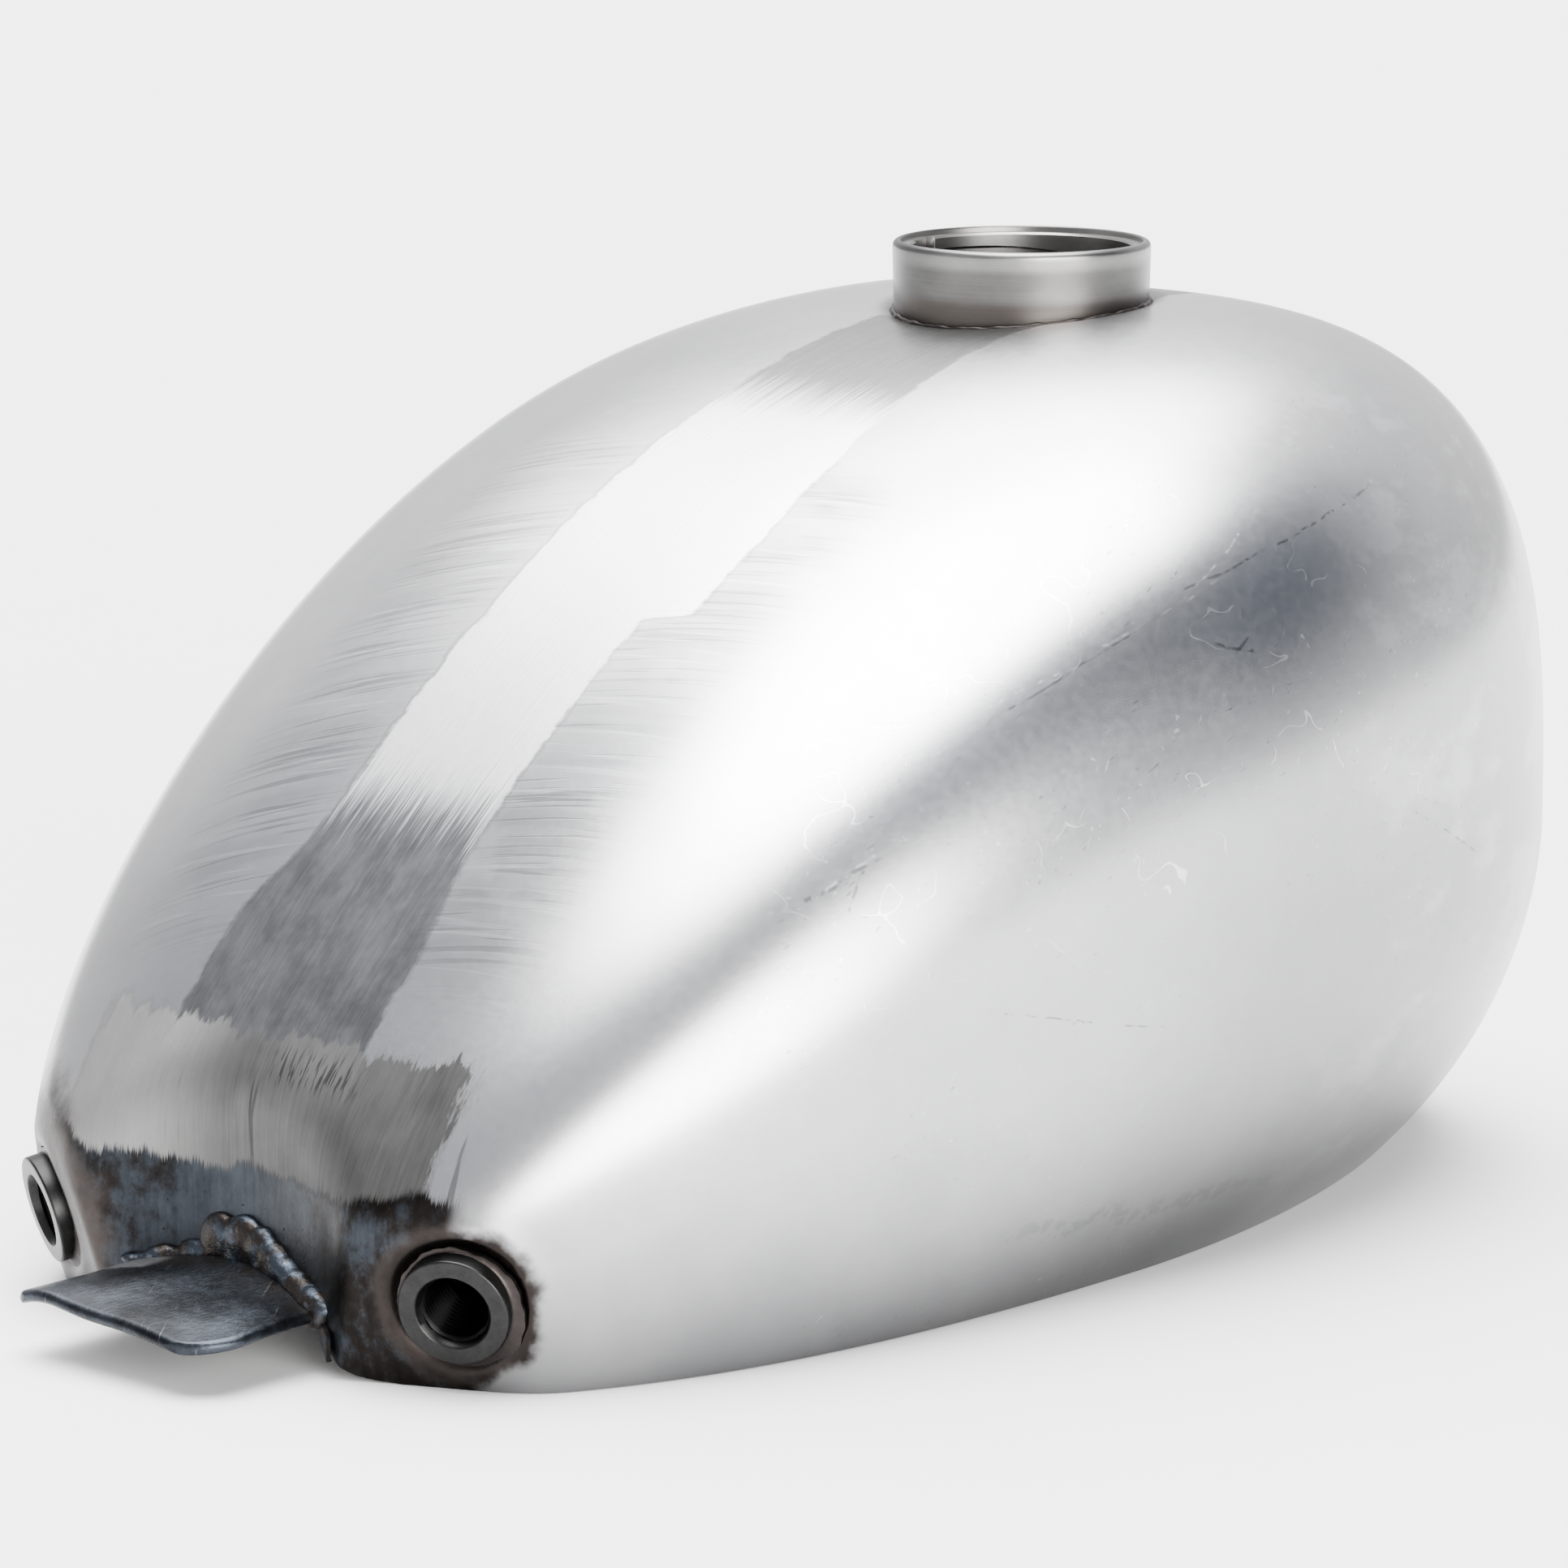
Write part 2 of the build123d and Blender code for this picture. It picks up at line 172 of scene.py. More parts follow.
def section_grid(angles, turns, inset):
    """Points of the right half of the body. Angles run from the seat end's pole to the nose's
    pole; turns run from the crown at -1, over the waist at 0, to the keel at 1."""
    angle, turn = np.meshgrid(angles, turns, indexing="ij")
    position = -np.cos(angle)
    half_width, crown, waist = section_sizes(position, inset)
    y = BODY_MIDDLE_Y + (BODY_LENGTH / 2 - inset) * position
    keel = waist - (KEEL_DEPTH - inset) * np.sqrt(np.sin(angle))
    quarter = np.abs(turn) * pi / 2
    power = np.where(turn < 0, UPPER_POWER, LOWER_POWER)
    x = half_width * np.cos(quarter) ** (2 / power)
    rise = np.sin(quarter) ** (2 / power)
    z = np.where(turn < 0, waist + (crown - waist) * rise, waist - (waist - keel) * rise)
    return x, y, z


def press_in(x, y, z, inset):
    """Presses the hollow end face, the flats and dishes for the outlets and the crease around
    the collar into the body's plain form."""
    scoop = END_FACE_Y - END_FACE_RADIUS
    reach = END_FACE_RADIUS + inset
    scoop_y = scoop + np.sqrt(np.clip(reach ** 2 - x ** 2, 1e-9, None))
    y = y + smooth_excess(scoop_y - y, END_FACE_BLEND)

    out = bung_axis()
    dx = x - BUNG_FACE.x
    dy = y - BUNG_FACE.y
    dz = z - BUNG_FACE.z
    along = dx * out.x + dy * out.y + dz * out.z
    radial = np.sqrt(np.clip(dx ** 2 + dy ** 2 + dz ** 2 - along ** 2, 0, None))
    push = smooth_excess(along + BUNG_PROUD + inset, FLAT_BLEND)
    near = smooth_step(8 * MM, 3 * MM, np.abs(along - push + BUNG_PROUD + inset))
    groove = 2.0 * MM * np.exp(-((radial - 13.0 * MM) / (2.0 * MM)) ** 2)
    lip = 0.35 * MM * np.exp(-((radial - 18.5 * MM) / (2.6 * MM)) ** 2)
    push = push + near * (groove - lip)
    x = x - push * out.x
    y = y - push * out.y
    z = z - push * out.z

    from_neck = np.sqrt(x ** 2 + (y - NECK_Y) ** 2)
    crease = 1.3 * MM * np.exp(-((from_neck - 31.5 * MM) / (2.4 * MM)) ** 2)
    crease = crease + 0.5 * MM * np.exp(-((from_neck - 34 * MM) / (9 * MM)) ** 2)
    z = z - np.where(z > 0.15, crease, 0.0)
    return x, y, z


def body_grid(angles, turns, inset):
    x, y, z = section_grid(angles, turns, inset)
    x, y, z = press_in(x, y, z, inset)
    x = np.maximum(x, SEAM_HALF_WIDTH)
    return np.stack([x, y, z], -1)


# ---- mesh helpers
def link(name, data):
    obj = bpy.data.objects.new(name, data)
    bpy.context.scene.collection.objects.link(obj)
    return obj


def new_object(name, vertices, faces):
    mesh = bpy.data.meshes.new(name)
    mesh.from_pydata([tuple(v) for v in vertices], [], faces)
    mesh.update()
    return link(name, mesh)


def solid_of_rings(name, rings, round_trip=True):
    """A closed skin over rings of equal length, which runs on from the last ring to the first or
    else has a cap at each end."""
    count = len(rings[0])
    faces = []
    for r in range(len(rings) if round_trip else len(rings) - 1):
        a = r * count
        b = (r + 1) % len(rings) * count
        for i in range(count):
            j = (i + 1) % count
            faces.append((a + i, b + i, b + j, a + j))
    if not round_trip:
        faces.append(tuple(range(count)))
        faces.append(tuple(reversed(range(len(rings) * count - count, len(rings) * count))))
    obj = new_object(name, [point for ring in rings for point in ring], faces)
    outward_normals(obj)
    return obj


def with_bmesh(obj, change):
    bm = bmesh.new()
    bm.from_mesh(obj.data)
    change(bm)
    bm.to_mesh(obj.data)
    bm.free()


def merge_close(obj, distance):
    """Joins vertices that lie closer together than distance."""
    with_bmesh(obj, lambda bm: bmesh.ops.remove_doubles(bm, verts=bm.verts, dist=distance))


def outward_normals(obj):
    with_bmesh(obj, lambda bm: bmesh.ops.recalc_face_normals(bm, faces=bm.faces))


def object_from(name, build):
    """An object whose mesh build(bm) makes."""
    bm = bmesh.new()
    build(bm)
    mesh = bpy.data.meshes.new(name)
    bm.to_mesh(mesh)
    bm.free()
    return link(name, mesh)


def cylinder_cutter(name, radius, length, middle, axis, segments=96):
    turn = Vector((0, 0, 1)).rotation_difference(axis).to_matrix().to_4x4()

    def build(bm):
        bmesh.ops.create_cone(
            bm, cap_ends=True, segments=segments, radius1=radius, radius2=radius, depth=length,
            matrix=Matrix.Translation(middle) @ turn,
        )

    return object_from(name, build)


def box_cutter(name, low, high):
    low = Vector(low)
    high = Vector(high)

    def build(bm):
        size = Matrix.Diagonal((*(high - low), 1))
        bmesh.ops.create_cube(bm, size=1, matrix=Matrix.Translation((low + high) / 2) @ size)

    return object_from(name, build)


def tunnel_cutter():
    """The hollow of the tunnel: upright sides under an arch that rises towards the nose."""
    base_z = -20 * MM
    half = TUNNEL_HALF_WIDTH
    rings = []
    for y in (SEAT_Y - 40 * MM, NOSE_Y + 30 * MM):
        share = (y - SEAT_Y) / BODY_LENGTH
        side_z = TUNNEL_REAR_SIDE_Z + share * (TUNNEL_FRONT_SIDE_Z - TUNNEL_REAR_SIDE_Z)
        crown_z = TUNNEL_REAR_CROWN_Z + share * (TUNNEL_FRONT_CROWN_Z - TUNNEL_REAR_CROWN_Z)
        rise = crown_z - side_z
        radius = (half ** 2 + rise ** 2) / (2 * rise)
        arch = [
            (x, y, crown_z - radius + sqrt(radius ** 2 - x ** 2))
            for x in np.linspace(-half, half, 33)
        ]
        rings.append([(-half, y, base_z), *arch, (half, y, base_z)])
    return solid_of_rings("tunnel_cutter", rings, round_trip=False)


def mouth_cutters():
    """Two cutters that slope the lower corners of the tunnel's rear mouth outwards."""
    inner_x = 20.0
    outer_x = 50.0
    floor_z = -9 * MM
    slope = (
        (inner_x, 14.0), (28.0, 11.5), (31.0, 9.8), (34.0, 6.6),
        (37.0, 3.0), (40.5, 1.2), (45.0, 0.4), (outer_x, 0.0),
    )
    # how far the slope has sunk at each y, towards the front
    sinking = ((-0.215, 0.0), (-0.166, 0.0), (-0.154, 4.5 * MM), (-0.138, 12.5 * MM))
    cutters = []
    for side in (-1, 1):
        rings = []
        for y, drop in sinking:
            ring = [(side * x * MM, y, max(z * MM - drop, floor_z) - 0.01 * MM) for x, z in slope]
            ring += [(side * x * MM, y, floor_z - 0.5 * MM) for x in (outer_x, inner_x)]
            rings.append(ring)
        cutters.append(solid_of_rings("mouth_cutter", rings, round_trip=False))
    return cutters


def shared_cutters():
    """What the pressings and their seam both lose: the tunnel, all below the rim, the neck hole."""
    beyond = 0.4
    neck_axis = Vector((0, 0, 1))
    return [
        tunnel_cutter(),
        box_cutter("below", (-beyond, -beyond, -beyond), (beyond, beyond, 0)),
        cylinder_cutter("neck_hole", COLLAR_RADIUS, 0.06, Vector((0, NECK_Y, 0.2)), neck_axis, 128),
    ]


def cut(obj, cutters):
    """Takes the cutters out of obj, and removes them."""
    for cutter in cutters:
        outward_normals(cutter)
        modifier = obj.modifiers.new("cut", "BOOLEAN")
        modifier.operation = "DIFFERENCE"
        modifier.solver = "MANIFOLD"
        modifier.object = cutter
    apply_modifiers(obj)
    for cutter in cutters:
        bpy.data.objects.remove(cutter)


def apply_modifiers(obj):
    graph = bpy.context.evaluated_depsgraph_get()
    result = bpy.data.meshes.new_from_object(obj.evaluated_get(graph))
    obj.modifiers.clear()
    obj.data = result


def shade(obj, angle):
    """Smooth shading, but for edges sharper than angle, in degrees."""
    for polygon in obj.data.polygons:
        polygon.use_smooth = True
    obj.data.set_sharp_from_angle(angle=radians(angle))


def attach(obj, node):
    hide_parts(node)
    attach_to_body(obj, "root")


def finish_piece(obj, angle, material, node):
    shade(obj, angle)
    obj.data.materials.clear()
    obj.data.materials.append(material)
    attach(obj, node)


# ---- the shells
def make_shell_mesh():
    """The right-hand pressing. Its faces carry slot 0 outside and slot 1 inside."""
    turns = np.concatenate([-1 + np.linspace(0, 1, 130) ** 1.5, np.linspace(0, 1, 100)[1:]])
    outer = solid_of_rings("shell_right_skin", body_grid(SKIN_ANGLES, turns, 0.0), round_trip=False)
    coarse_angles = np.linspace(0.02, pi - 0.02, 110)
    coarse_turns = np.linspace(-1, 1, 70)
    inner_points = body_grid(coarse_angles, coarse_turns, SHEET)
    inner_points[..., 0] = np.where(
        inner_points[..., 0] <= SEAM_HALF_WIDTH, -5 * MM, inner_points[..., 0]
    )
    inner = solid_of_rings("inner", inner_points, round_trip=False)
    for solid, index in ((outer, 0), (inner, 1)):
        for slot_number in range(2):
            solid.data.materials.append(bpy.data.materials.new("slot_%d" % slot_number))
        for polygon in solid.data.polygons:
            polygon.material_index = index
    out = bung_axis()
    bung_middle = BUNG_FACE - out * (BUNG_LENGTH / 2)
    bung_hole = cylinder_cutter("bung_hole", BUNG_RADIUS, 0.04, bung_middle, out)
    cut(outer, [inner, *shared_cutters(), bung_hole, *mouth_cutters()])
    return outer


# ---- the other pieces
def full_turn(steps):
    return [2 * pi * step / steps for step in range(steps)]


def neck_lathe(name, outline, segments):
    """Turns a closed outline of (radius, z) points round the neck's axis."""
    rings = []
    for angle in full_turn(segments):
        rings.append([(r * cos(angle), NECK_Y + r * sin(angle), z) for r, z in outline])
    return solid_of_rings(name, rings)


def make_shells(material, inner_material):
    right = make_shell_mesh()
    right.data.materials[0] = material
    right.data.materials[1] = inner_material
    left_mesh = right.data.copy()
    left_mesh.transform(Matrix.Diagonal((-1, 1, 1, 1)))
    left_mesh.flip_normals()
    left = link("shell_left_skin", left_mesh)
    for obj, node in ((right, "shell_right"), (left, "shell_left")):
        shade(obj, 35)
        attach(obj, node)


def make_seam(material):
    """The ground-flush weld along the ridge, between the two pressings."""
    loops = []
    for inset in (0.0, SHEET):
        crown_line = body_grid(SKIN_ANGLES, np.array([-1.0]), inset)[:, 0]
        keel_line = body_grid(SKIN_ANGLES, np.array([1.0]), inset)[::-1, 0]
        loops.append(np.concatenate([crown_line, keel_line]))
    solids = []
    for name, loop, half in zip(("centre_seam", "seam_core"), loops, (SEAM_HALF_WIDTH, 5 * MM)):
        rings = [[(x, point[1], point[2]) for point in loop] for x in (-half, half)]
        solids.append(solid_of_rings(name, rings, round_trip=False))
    seam, core = solids
    cut(seam, [core, *shared_cutters()])
    finish_piece(seam, 35, material, "centre_seam_weld")


def arc(centre, radius, start, end, steps):
    """Points of (radius, along) on an arc, with angles in degrees."""
    points = []
    for step in range(steps + 1):
        angle = radians(start + (end - start) * step / steps)
        points.append((centre[0] + radius * cos(angle), centre[1] + radius * sin(angle)))
    return points


def make_neck(material):
    """The turned collar: its wall widens very slightly up to a rolled rim."""
    rim_radius = 1.6 * MM
    lip_radius = 0.5 * MM
    rim_low = NECK_TOP - 4.4 * MM
    inner = NECK_RADIUS - NECK_WALL
    inner_low = COLLAR_RADIUS - NECK_WALL
    outline = [(COLLAR_RADIUS, NECK_BOTTOM)]
    wall_low = NECK_BOTTOM + 2 * MM
    wall_high = NECK_TOP - rim_radius - 0.8 * MM
    for share in np.linspace(0, 1, 19):
        radius = COLLAR_RADIUS + (NECK_RADIUS - COLLAR_RADIUS) * share
        outline.append((radius, wall_low + (wall_high - wall_low) * share))
    outline += arc((NECK_RADIUS - rim_radius, NECK_TOP - rim_radius), rim_radius, 0, 90, 8)
    outline += arc((inner + lip_radius, NECK_TOP - lip_radius), lip_radius, 90, 180, 4)
    outline += [(inner, rim_low), (inner_low, rim_low - 1.0 * MM), (inner_low, NECK_BOTTOM)]
    neck = neck_lathe("filler_collar", outline, 192)
    finish_piece(neck, 30, material, "filler_neck")


def make_bayonet_ring(material):
    """A pressed ring: a lip with two notches for the cap's tabs, over a skirt whose lower edge
    climbs twice round, for the tabs to run on."""
    top = NECK_TOP - 1.4 * MM
    lip = 1.6 * MM
    outer = NECK_RADIUS - NECK_WALL
    notch_turns = (14.0, 194.0)
    rings = []
    for degrees_round in range(360):
        off = min(abs((degrees_round - turn + 180) % 360 - 180) for turn in notch_turns)
        notch = float(1 - smooth_step(9.0, 10.5, np.array(off)))
        bore = MOUTH_RADIUS + notch * 2.0 * MM
        climb = ((degrees_round - notch_turns[0]) % 180) / 180
        depth = 8.0 * MM - 4.6 * MM * float(smooth_step(0.12, 0.78, np.array(climb)))
        skirt = max(MOUTH_RADIUS + lip * 0.75, bore + 0.35 * MM)
        outline = (
            (outer, top - lip), (outer, top), (bore + 0.5 * MM, top), (bore, top - 0.5 * MM),
            (bore, top - depth + 0.3 * MM), (bore + 0.3 * MM, top - depth), (skirt, top - depth),
            (skirt, top - lip),
        )
        angle = radians(degrees_round)
        rings.append([(r * cos(angle), NECK_Y + r * sin(angle), z) for r, z in outline])
    ring = solid_of_rings("bayonet_ring", rings)
    finish_piece(ring, 30, material, "filler_bayonet_ring")


def crown_height(x, y):
    """Height of the body's upper skin at a place in plan."""
    position = np.array((y - BODY_MIDDLE_Y) / (BODY_LENGTH / 2))
    half_width, crown, waist = section_sizes(position)
    return waist + (crown - waist) * (1 - (abs(x) / half_width) ** UPPER_POWER) ** (1 / UPPER_POWER)


def make_neck_weld(material):
    """A thin, low fillet where the collar meets the body, down in the crease."""
    foot_radius = 31.5 * MM
    rings = []
    for angle in full_turn(192):
        ripple = 0.15 * MM * sin(23 * angle) + 0.12 * MM * sin(41 * angle + 1.0)
        base = crown_height(foot_radius * cos(angle), NECK_Y + foot_radius * sin(angle)) - 1.6 * MM
        ring = []
        for turn in full_turn(9):
            radius = COLLAR_RADIUS + 0.2 * MM + (0.9 * MM + ripple) * cos(turn)
            z = base + (0.7 * MM + ripple) * sin(turn)
            ring.append((radius * cos(angle), NECK_Y + radius * sin(angle), z))
        rings.append(ring)
    weld = solid_of_rings("neck_fillet", rings)
    finish_piece(weld, 60, material, "filler_neck_weld")


# ---- the outlets
SIDE_NAMES = {-1: "left", 1: "right"}


def mirrored_frame(side):
    """Axes of an outlet: out of its face, up its face, and across."""
    out = bung_axis()
    out = Vector((side * out.x, out.y, out.z))
    face = Vector((side * BUNG_FACE.x, BUNG_FACE.y, BUNG_FACE.z))
    up = (Vector((0, 0, 1)) - out * out.z).normalized()
    return face, out, up, out.cross(up)


def make_bung(side, material):
    """A turned bung with a chamfered mouth and a real thread down its bore."""
    face, out, up, across = mirrored_frame(side)
    segments = 120
    pitch = 1.41 * MM
    thread_depth = 0.85 * MM
    per_turn = 8
    mouth_depth = 1.5 * MM
    edge = 0.6 * MM
    rows = [(BUNG_BORE + 0.4 * MM, -BUNG_LENGTH), (BUNG_RADIUS, -BUNG_LENGTH)]
    rows += [(BUNG_RADIUS, -BUNG_PROUD - 1 * MM), (BUNG_RADIUS, -edge)]
    rows += arc((BUNG_RADIUS - edge, -edge), edge, 0, 90, 4)[1:]
    rows += [((BUNG_RADIUS + BUNG_MOUTH) / 2, 0.0), (BUNG_MOUTH + 0.25 * MM, 0.0)]
    rows += [(BUNG_MOUTH, -0.2 * MM)]
    turns_of_thread = (BUNG_LENGTH - mouth_depth - 1.0 * MM) / pitch
    thread_rows = int(turns_of_thread * per_turn)
    rings = []
    for angle in full_turn(segments):
        direction = up * cos(angle) + across * sin(angle)
        outline = list(rows)
        for i in range(thread_rows):
            along = -mouth_depth - pitch * i / per_turn
            phase = (i / per_turn + angle / (2 * pi)) % 1.0
            crest = abs(2 * phase - 1)
            fade = min(1.0, (i + 1) / per_turn)
            outline.append((BUNG_BORE + thread_depth * (crest * fade + 0.9 * (1 - fade)), along))
        rings.append([face + out * along + direction * radius for radius, along in outline])
    name = SIDE_NAMES[side]
    bung = solid_of_rings("outlet_" + name, rings)
    finish_piece(bung, 25, material, "petcock_bung_" + name)


def wave(angle, terms):
    return sum(size * sin(count * angle + shift) for count, size, shift in terms)


def make_bung_weld(side, material):
    """A braze fillet, full below the bung and drawn back to a dark crevice above it."""
    face, out, up, across = mirrored_frame(side)
    segments = 160
    ring_points = 12
    rings = []
    for angle in full_turn(segments):
        lower = 0.5 - 0.5 * cos(angle - side * radians(25))
        ripple = wave(angle, ((5, 0.10, 0.4), (11, 0.07, 1.9), (23, 0.05, 0.7)))
        width = (0.9 + 2.6 * lower ** 1.5 + ripple * 2) * MM
        height = (0.5 + 1.5 * lower ** 1.5 + ripple) * MM
        direction = up * cos(angle) + across * sin(angle)
        base = -BUNG_PROUD - (1.6 - 0.9 * lower) * MM
        section = []
        for i in range(ring_points):
            turn = (pi / 2) * i / (ring_points - 1)
            radius = BUNG_RADIUS + width * (1 - sin(turn)) ** 1.15
            along = base + height * (1 - cos(turn)) ** 0.9
            section.append((radius, along))
        section.append((BUNG_RADIUS - 0.4 * MM, base + height))
        section.append((BUNG_RADIUS - 0.4 * MM, base - 1.2 * MM))
        section.append((BUNG_RADIUS + width, base - 1.2 * MM))
        rings.append([face + out * along + direction * radius for radius, along in section])
    name = SIDE_NAMES[side]
    weld = solid_of_rings("braze_" + name, rings)
    finish_piece(weld, 50, material, "bung_weld_" + name)


# ---- the tongue and its weld
def tongue_top(x, y):
    """Height of the tongue's upper face: arched at the root, higher on the left at the tip but
    for the tip's left corner, which curls down."""
    share = min(max((y - END_FACE_Y) / (TONGUE_TIP_Y - END_FACE_Y), 0.0), 1.0)
    root = TONGUE_ROOT_Z + TONGUE_ROOT_ARCH * (1 - (x / TONGUE_HALF_WIDTH) ** 2)
    tip = TONGUE_TIP_Z - TONGUE_TIP_TILT * sin(x / TONGUE_HALF_WIDTH * pi / 2)
    curl_start = 17 * MM
    curl = max(0.0, (-x - curl_start) / (TONGUE_HALF_WIDTH - curl_start))
    tip -= 2.6 * MM * curl ** 2
    dent = 0.35 * MM * sin(x / (5.3 * MM)) * sin(y / (7.1 * MM))
    return root + (tip - root) * share ** 1.25 + dent * min(1.0, 3 * share)


def corner_loss(from_tip, radius):
    """How much narrower the tongue is this far from its tip, for one rounded corner."""
    from_centre = max(radius - from_tip, 0.0)
    return radius - sqrt(radius ** 2 - from_centre ** 2)


def make_tongue(material):
    """The undrilled tongue: a bent, hammered plate with edges rounded by wear."""
    columns = 72
    rows = 60
    root_y = END_FACE_Y + 1.5 * MM
    vertices = []
    for face in (1, -1):
        for r in range(rows + 1):
            share = sin(r / rows * pi / 2)
            y = root_y + (TONGUE_TIP_Y - root_y) * share
            low = -TONGUE_HALF_WIDTH + corner_loss(y - TONGUE_TIP_Y, TONGUE_CORNER_LEFT)
            high = TONGUE_HALF_WIDTH - corner_loss(y - TONGUE_TIP_Y, TONGUE_CORNER_RIGHT)
            for c in range(columns + 1):
                x = (low + high) / 2 + (high - low) / 2 * sin(pi / 2 * (2 * c / columns - 1))
                hollow = sqrt(END_FACE_RADIUS ** 2 - x ** 2) - END_FACE_RADIUS
                bent_y = y + hollow * (1 - share) ** 2
                from_edge = min(y - TONGUE_TIP_Y, x - low, high - x, TONGUE_EDGE_RADIUS)
                rounding = (1 - from_edge / TONGUE_EDGE_RADIUS) ** 2
                half_sheet = TONGUE_SHEET / 2 * sqrt(max(1 - rounding, 0))
                middle_z = tongue_top(x, bent_y) - TONGUE_SHEET / 2
                vertices.append((x, bent_y, middle_z + face * half_sheet))
    faces = []
    width = columns + 1
    below = width * (rows + 1)
    for r in range(rows):
        for c in range(columns):
            a = r * width + c
            faces.append((a, a + 1, a + width + 1, a + width))
            faces.append((a + below, a + below + width, a + below + width + 1, a + below + 1))
    for c in range(columns):
        faces.append((c, c + below, c + below + 1, c + 1))
    tongue = new_object("tongue", vertices, faces)
    merge_close(tongue, 0.002 * MM)
    outward_normals(tongue)
    finish_piece(tongue, 70, material, "rear_mount_tongue")


def lump(bm, middle, radii):
    """One rounded lump of weld metal."""
    matrix = Matrix.Translation(middle) @ Matrix.Diagonal((*radii, 1))
    bmesh.ops.create_icosphere(bm, subdivisions=3, radius=1, matrix=matrix)


def fuse(name, build, voxel, rounds):
    """Joins overlapping lumps into one skin and smooths it."""
    obj = object_from(name, build)
    remesh = obj.modifiers.new("fuse", "REMESH")
    remesh.mode = "VOXEL"
    remesh.voxel_size = voxel
    smooth = obj.modifiers.new("smooth", "SMOOTH")
    smooth.iterations = rounds
    smooth.factor = 0.5
    apply_modifiers(obj)
    return obj


def root_point(x):
    y = END_FACE_Y - END_FACE_RADIUS + sqrt(END_FACE_RADIUS ** 2 - x ** 2)
    return Vector((x, y, tongue_top(x, END_FACE_Y)))


def make_tongue_weld(material):
    """A small bead along the whole root, large lumps (x, rise and three half sizes) on it, and
    spatter above."""
    random = np.random.default_rng(7)
    bead_steps = 39

    def build(bm):
        for step in range(bead_steps + 1):
            x = (-30.0 + 60.0 * step / bead_steps) * MM
            size = 1.5 + 0.5 * random.random()
            if x > 9 * MM:
                size += 1.2
            offset = Vector((0, -0.5 - 0.9 * random.random(), -0.5 + 1.0 * random.random())) * MM
            radii = (size * MM * 1.7, size * MM * 0.95, size * MM * (0.75 + 0.3 * random.random()))
            lump(bm, root_point(x) + offset, radii)
        large = (
            (-6.5, 3.6, 6.4, 2.6, 6.2), (1.0, 4.2, 6.4, 3.2, 6.0), (7.0, 3.6, 4.8, 3.4, 5.2),
            (11.5, 2.2, 4.6, 3.6, 4.4), (15.5, 1.2, 4.8, 3.8, 3.6), (20.0, 0.4, 4.6, 3.8, 3.4),
            (24.0, -0.4, 4.4, 3.8, 3.6), (28.0, -0.6, 4.6, 4.2, 4.2), (-14.0, 0.8, 5.0, 2.2, 2.4),
            (-22.0, 0.4, 4.0, 1.9, 2.0), (30.5, -1.8, 3.2, 3.2, 3.4),
        )
        for x, rise, wide, deep, high in large:
            point = root_point(x * MM) + Vector((0, -0.4, rise)) * MM
            lump(bm, point, (wide * MM, deep * MM, high * MM))
        for _ in range(26):
            x = random.uniform(-24, 34)
            point = root_point(x * MM) + Vector((0, -0.1, random.uniform(2.0, 15.0))) * MM
            size = random.uniform(0.35, 0.65) * MM
            lump(bm, point, (size, size, size))

    weld = fuse("tongue_bead", build, 0.5 * MM, 16)
    finish_piece(weld, 180, material, "tongue_weld")


# ---- shader helpers
class Value:
    """A number on a node socket. Arithmetic with it makes math nodes."""

    def __init__(self, graph, socket):
        self.graph = graph
        self.socket = socket

    def __add__(self, other):
        return self.graph.math("ADD", self, other)

    def __radd__(self, other):
        return self.graph.math("ADD", other, self)

    def __sub__(self, other):
        return self.graph.math("SUBTRACT", self, other)

    def __rsub__(self, other):
        return self.graph.math("SUBTRACT", other, self)

    def __mul__(self, other):
        return self.graph.math("MULTIPLY", self, other)

    def __abs__(self):
        return self.graph.math("ABSOLUTE", self)


class Graph:
    """Puts nodes in a tree. What is passed about is Values, plain numbers, and sockets or tuples
    for colours and places."""

    def __init__(self, tree):
        self.tree = tree
        tree.nodes.clear()

    def node(self, kind, inputs, **settings):
        """A new node, with its inputs filled by name or number."""
        node = self.tree.nodes.new("ShaderNode" + kind)
        for name, value in settings.items():
            setattr(node, name, value)
        for key, value in inputs.items():
            value = getattr(value, "socket", value)
            if isinstance(value, bpy.types.NodeSocket):
                self.tree.links.new(value, node.inputs[key])
            else:
                node.inputs[key].default_value = value
        return node

    def math(self, operation, a, b=0.0):
        return Value(self, self.node("Math", {0: a, 1: b}, operation=operation).outputs[0])

    def vector_math(self, operation, a, b=(0.0, 0.0, 0.0)):
        node = self.node("VectorMath", {0: a, 1: b}, operation=operation)
        if operation in ("LENGTH", "DOT_PRODUCT"):
            return Value(self, node.outputs["Value"])
        return node.outputs[0]

    def shade(self, colour, amount):
        """A colour or vector times amount, which may be over 1."""
        return self.node("VectorMath", {0: colour, "Scale": amount}, operation="SCALE").outputs[0]

    def mix(self, factor, a, b):
        a, b = [(*value, 1.0) if isinstance(value, tuple) else value for value in (a, b)]
        return self.node("Mix", {"Factor": factor, 6: a, 7: b}, data_type="RGBA").outputs[2]

    def step(self, value, low, high):
        """0 below low, 1 above high, smooth between; high may be under low."""
        ends = {"To Min": 0.0, "To Max": 1.0}
        if high < low:
            low, high = high, low
            ends = {"To Min": 1.0, "To Max": 0.0}
        inputs = {"Value": value, "From Min": low, "From Max": high, **ends}
        return Value(self, self.node("MapRange", inputs, interpolation_type="SMOOTHSTEP").outputs[0])

    def window(self, value, low, high, soft):
        """1 between low and high, 0 outside them, with edges soft wide each way."""
        return self.step(value, low - soft, low + soft) * self.step(value, high + soft, high - soft)


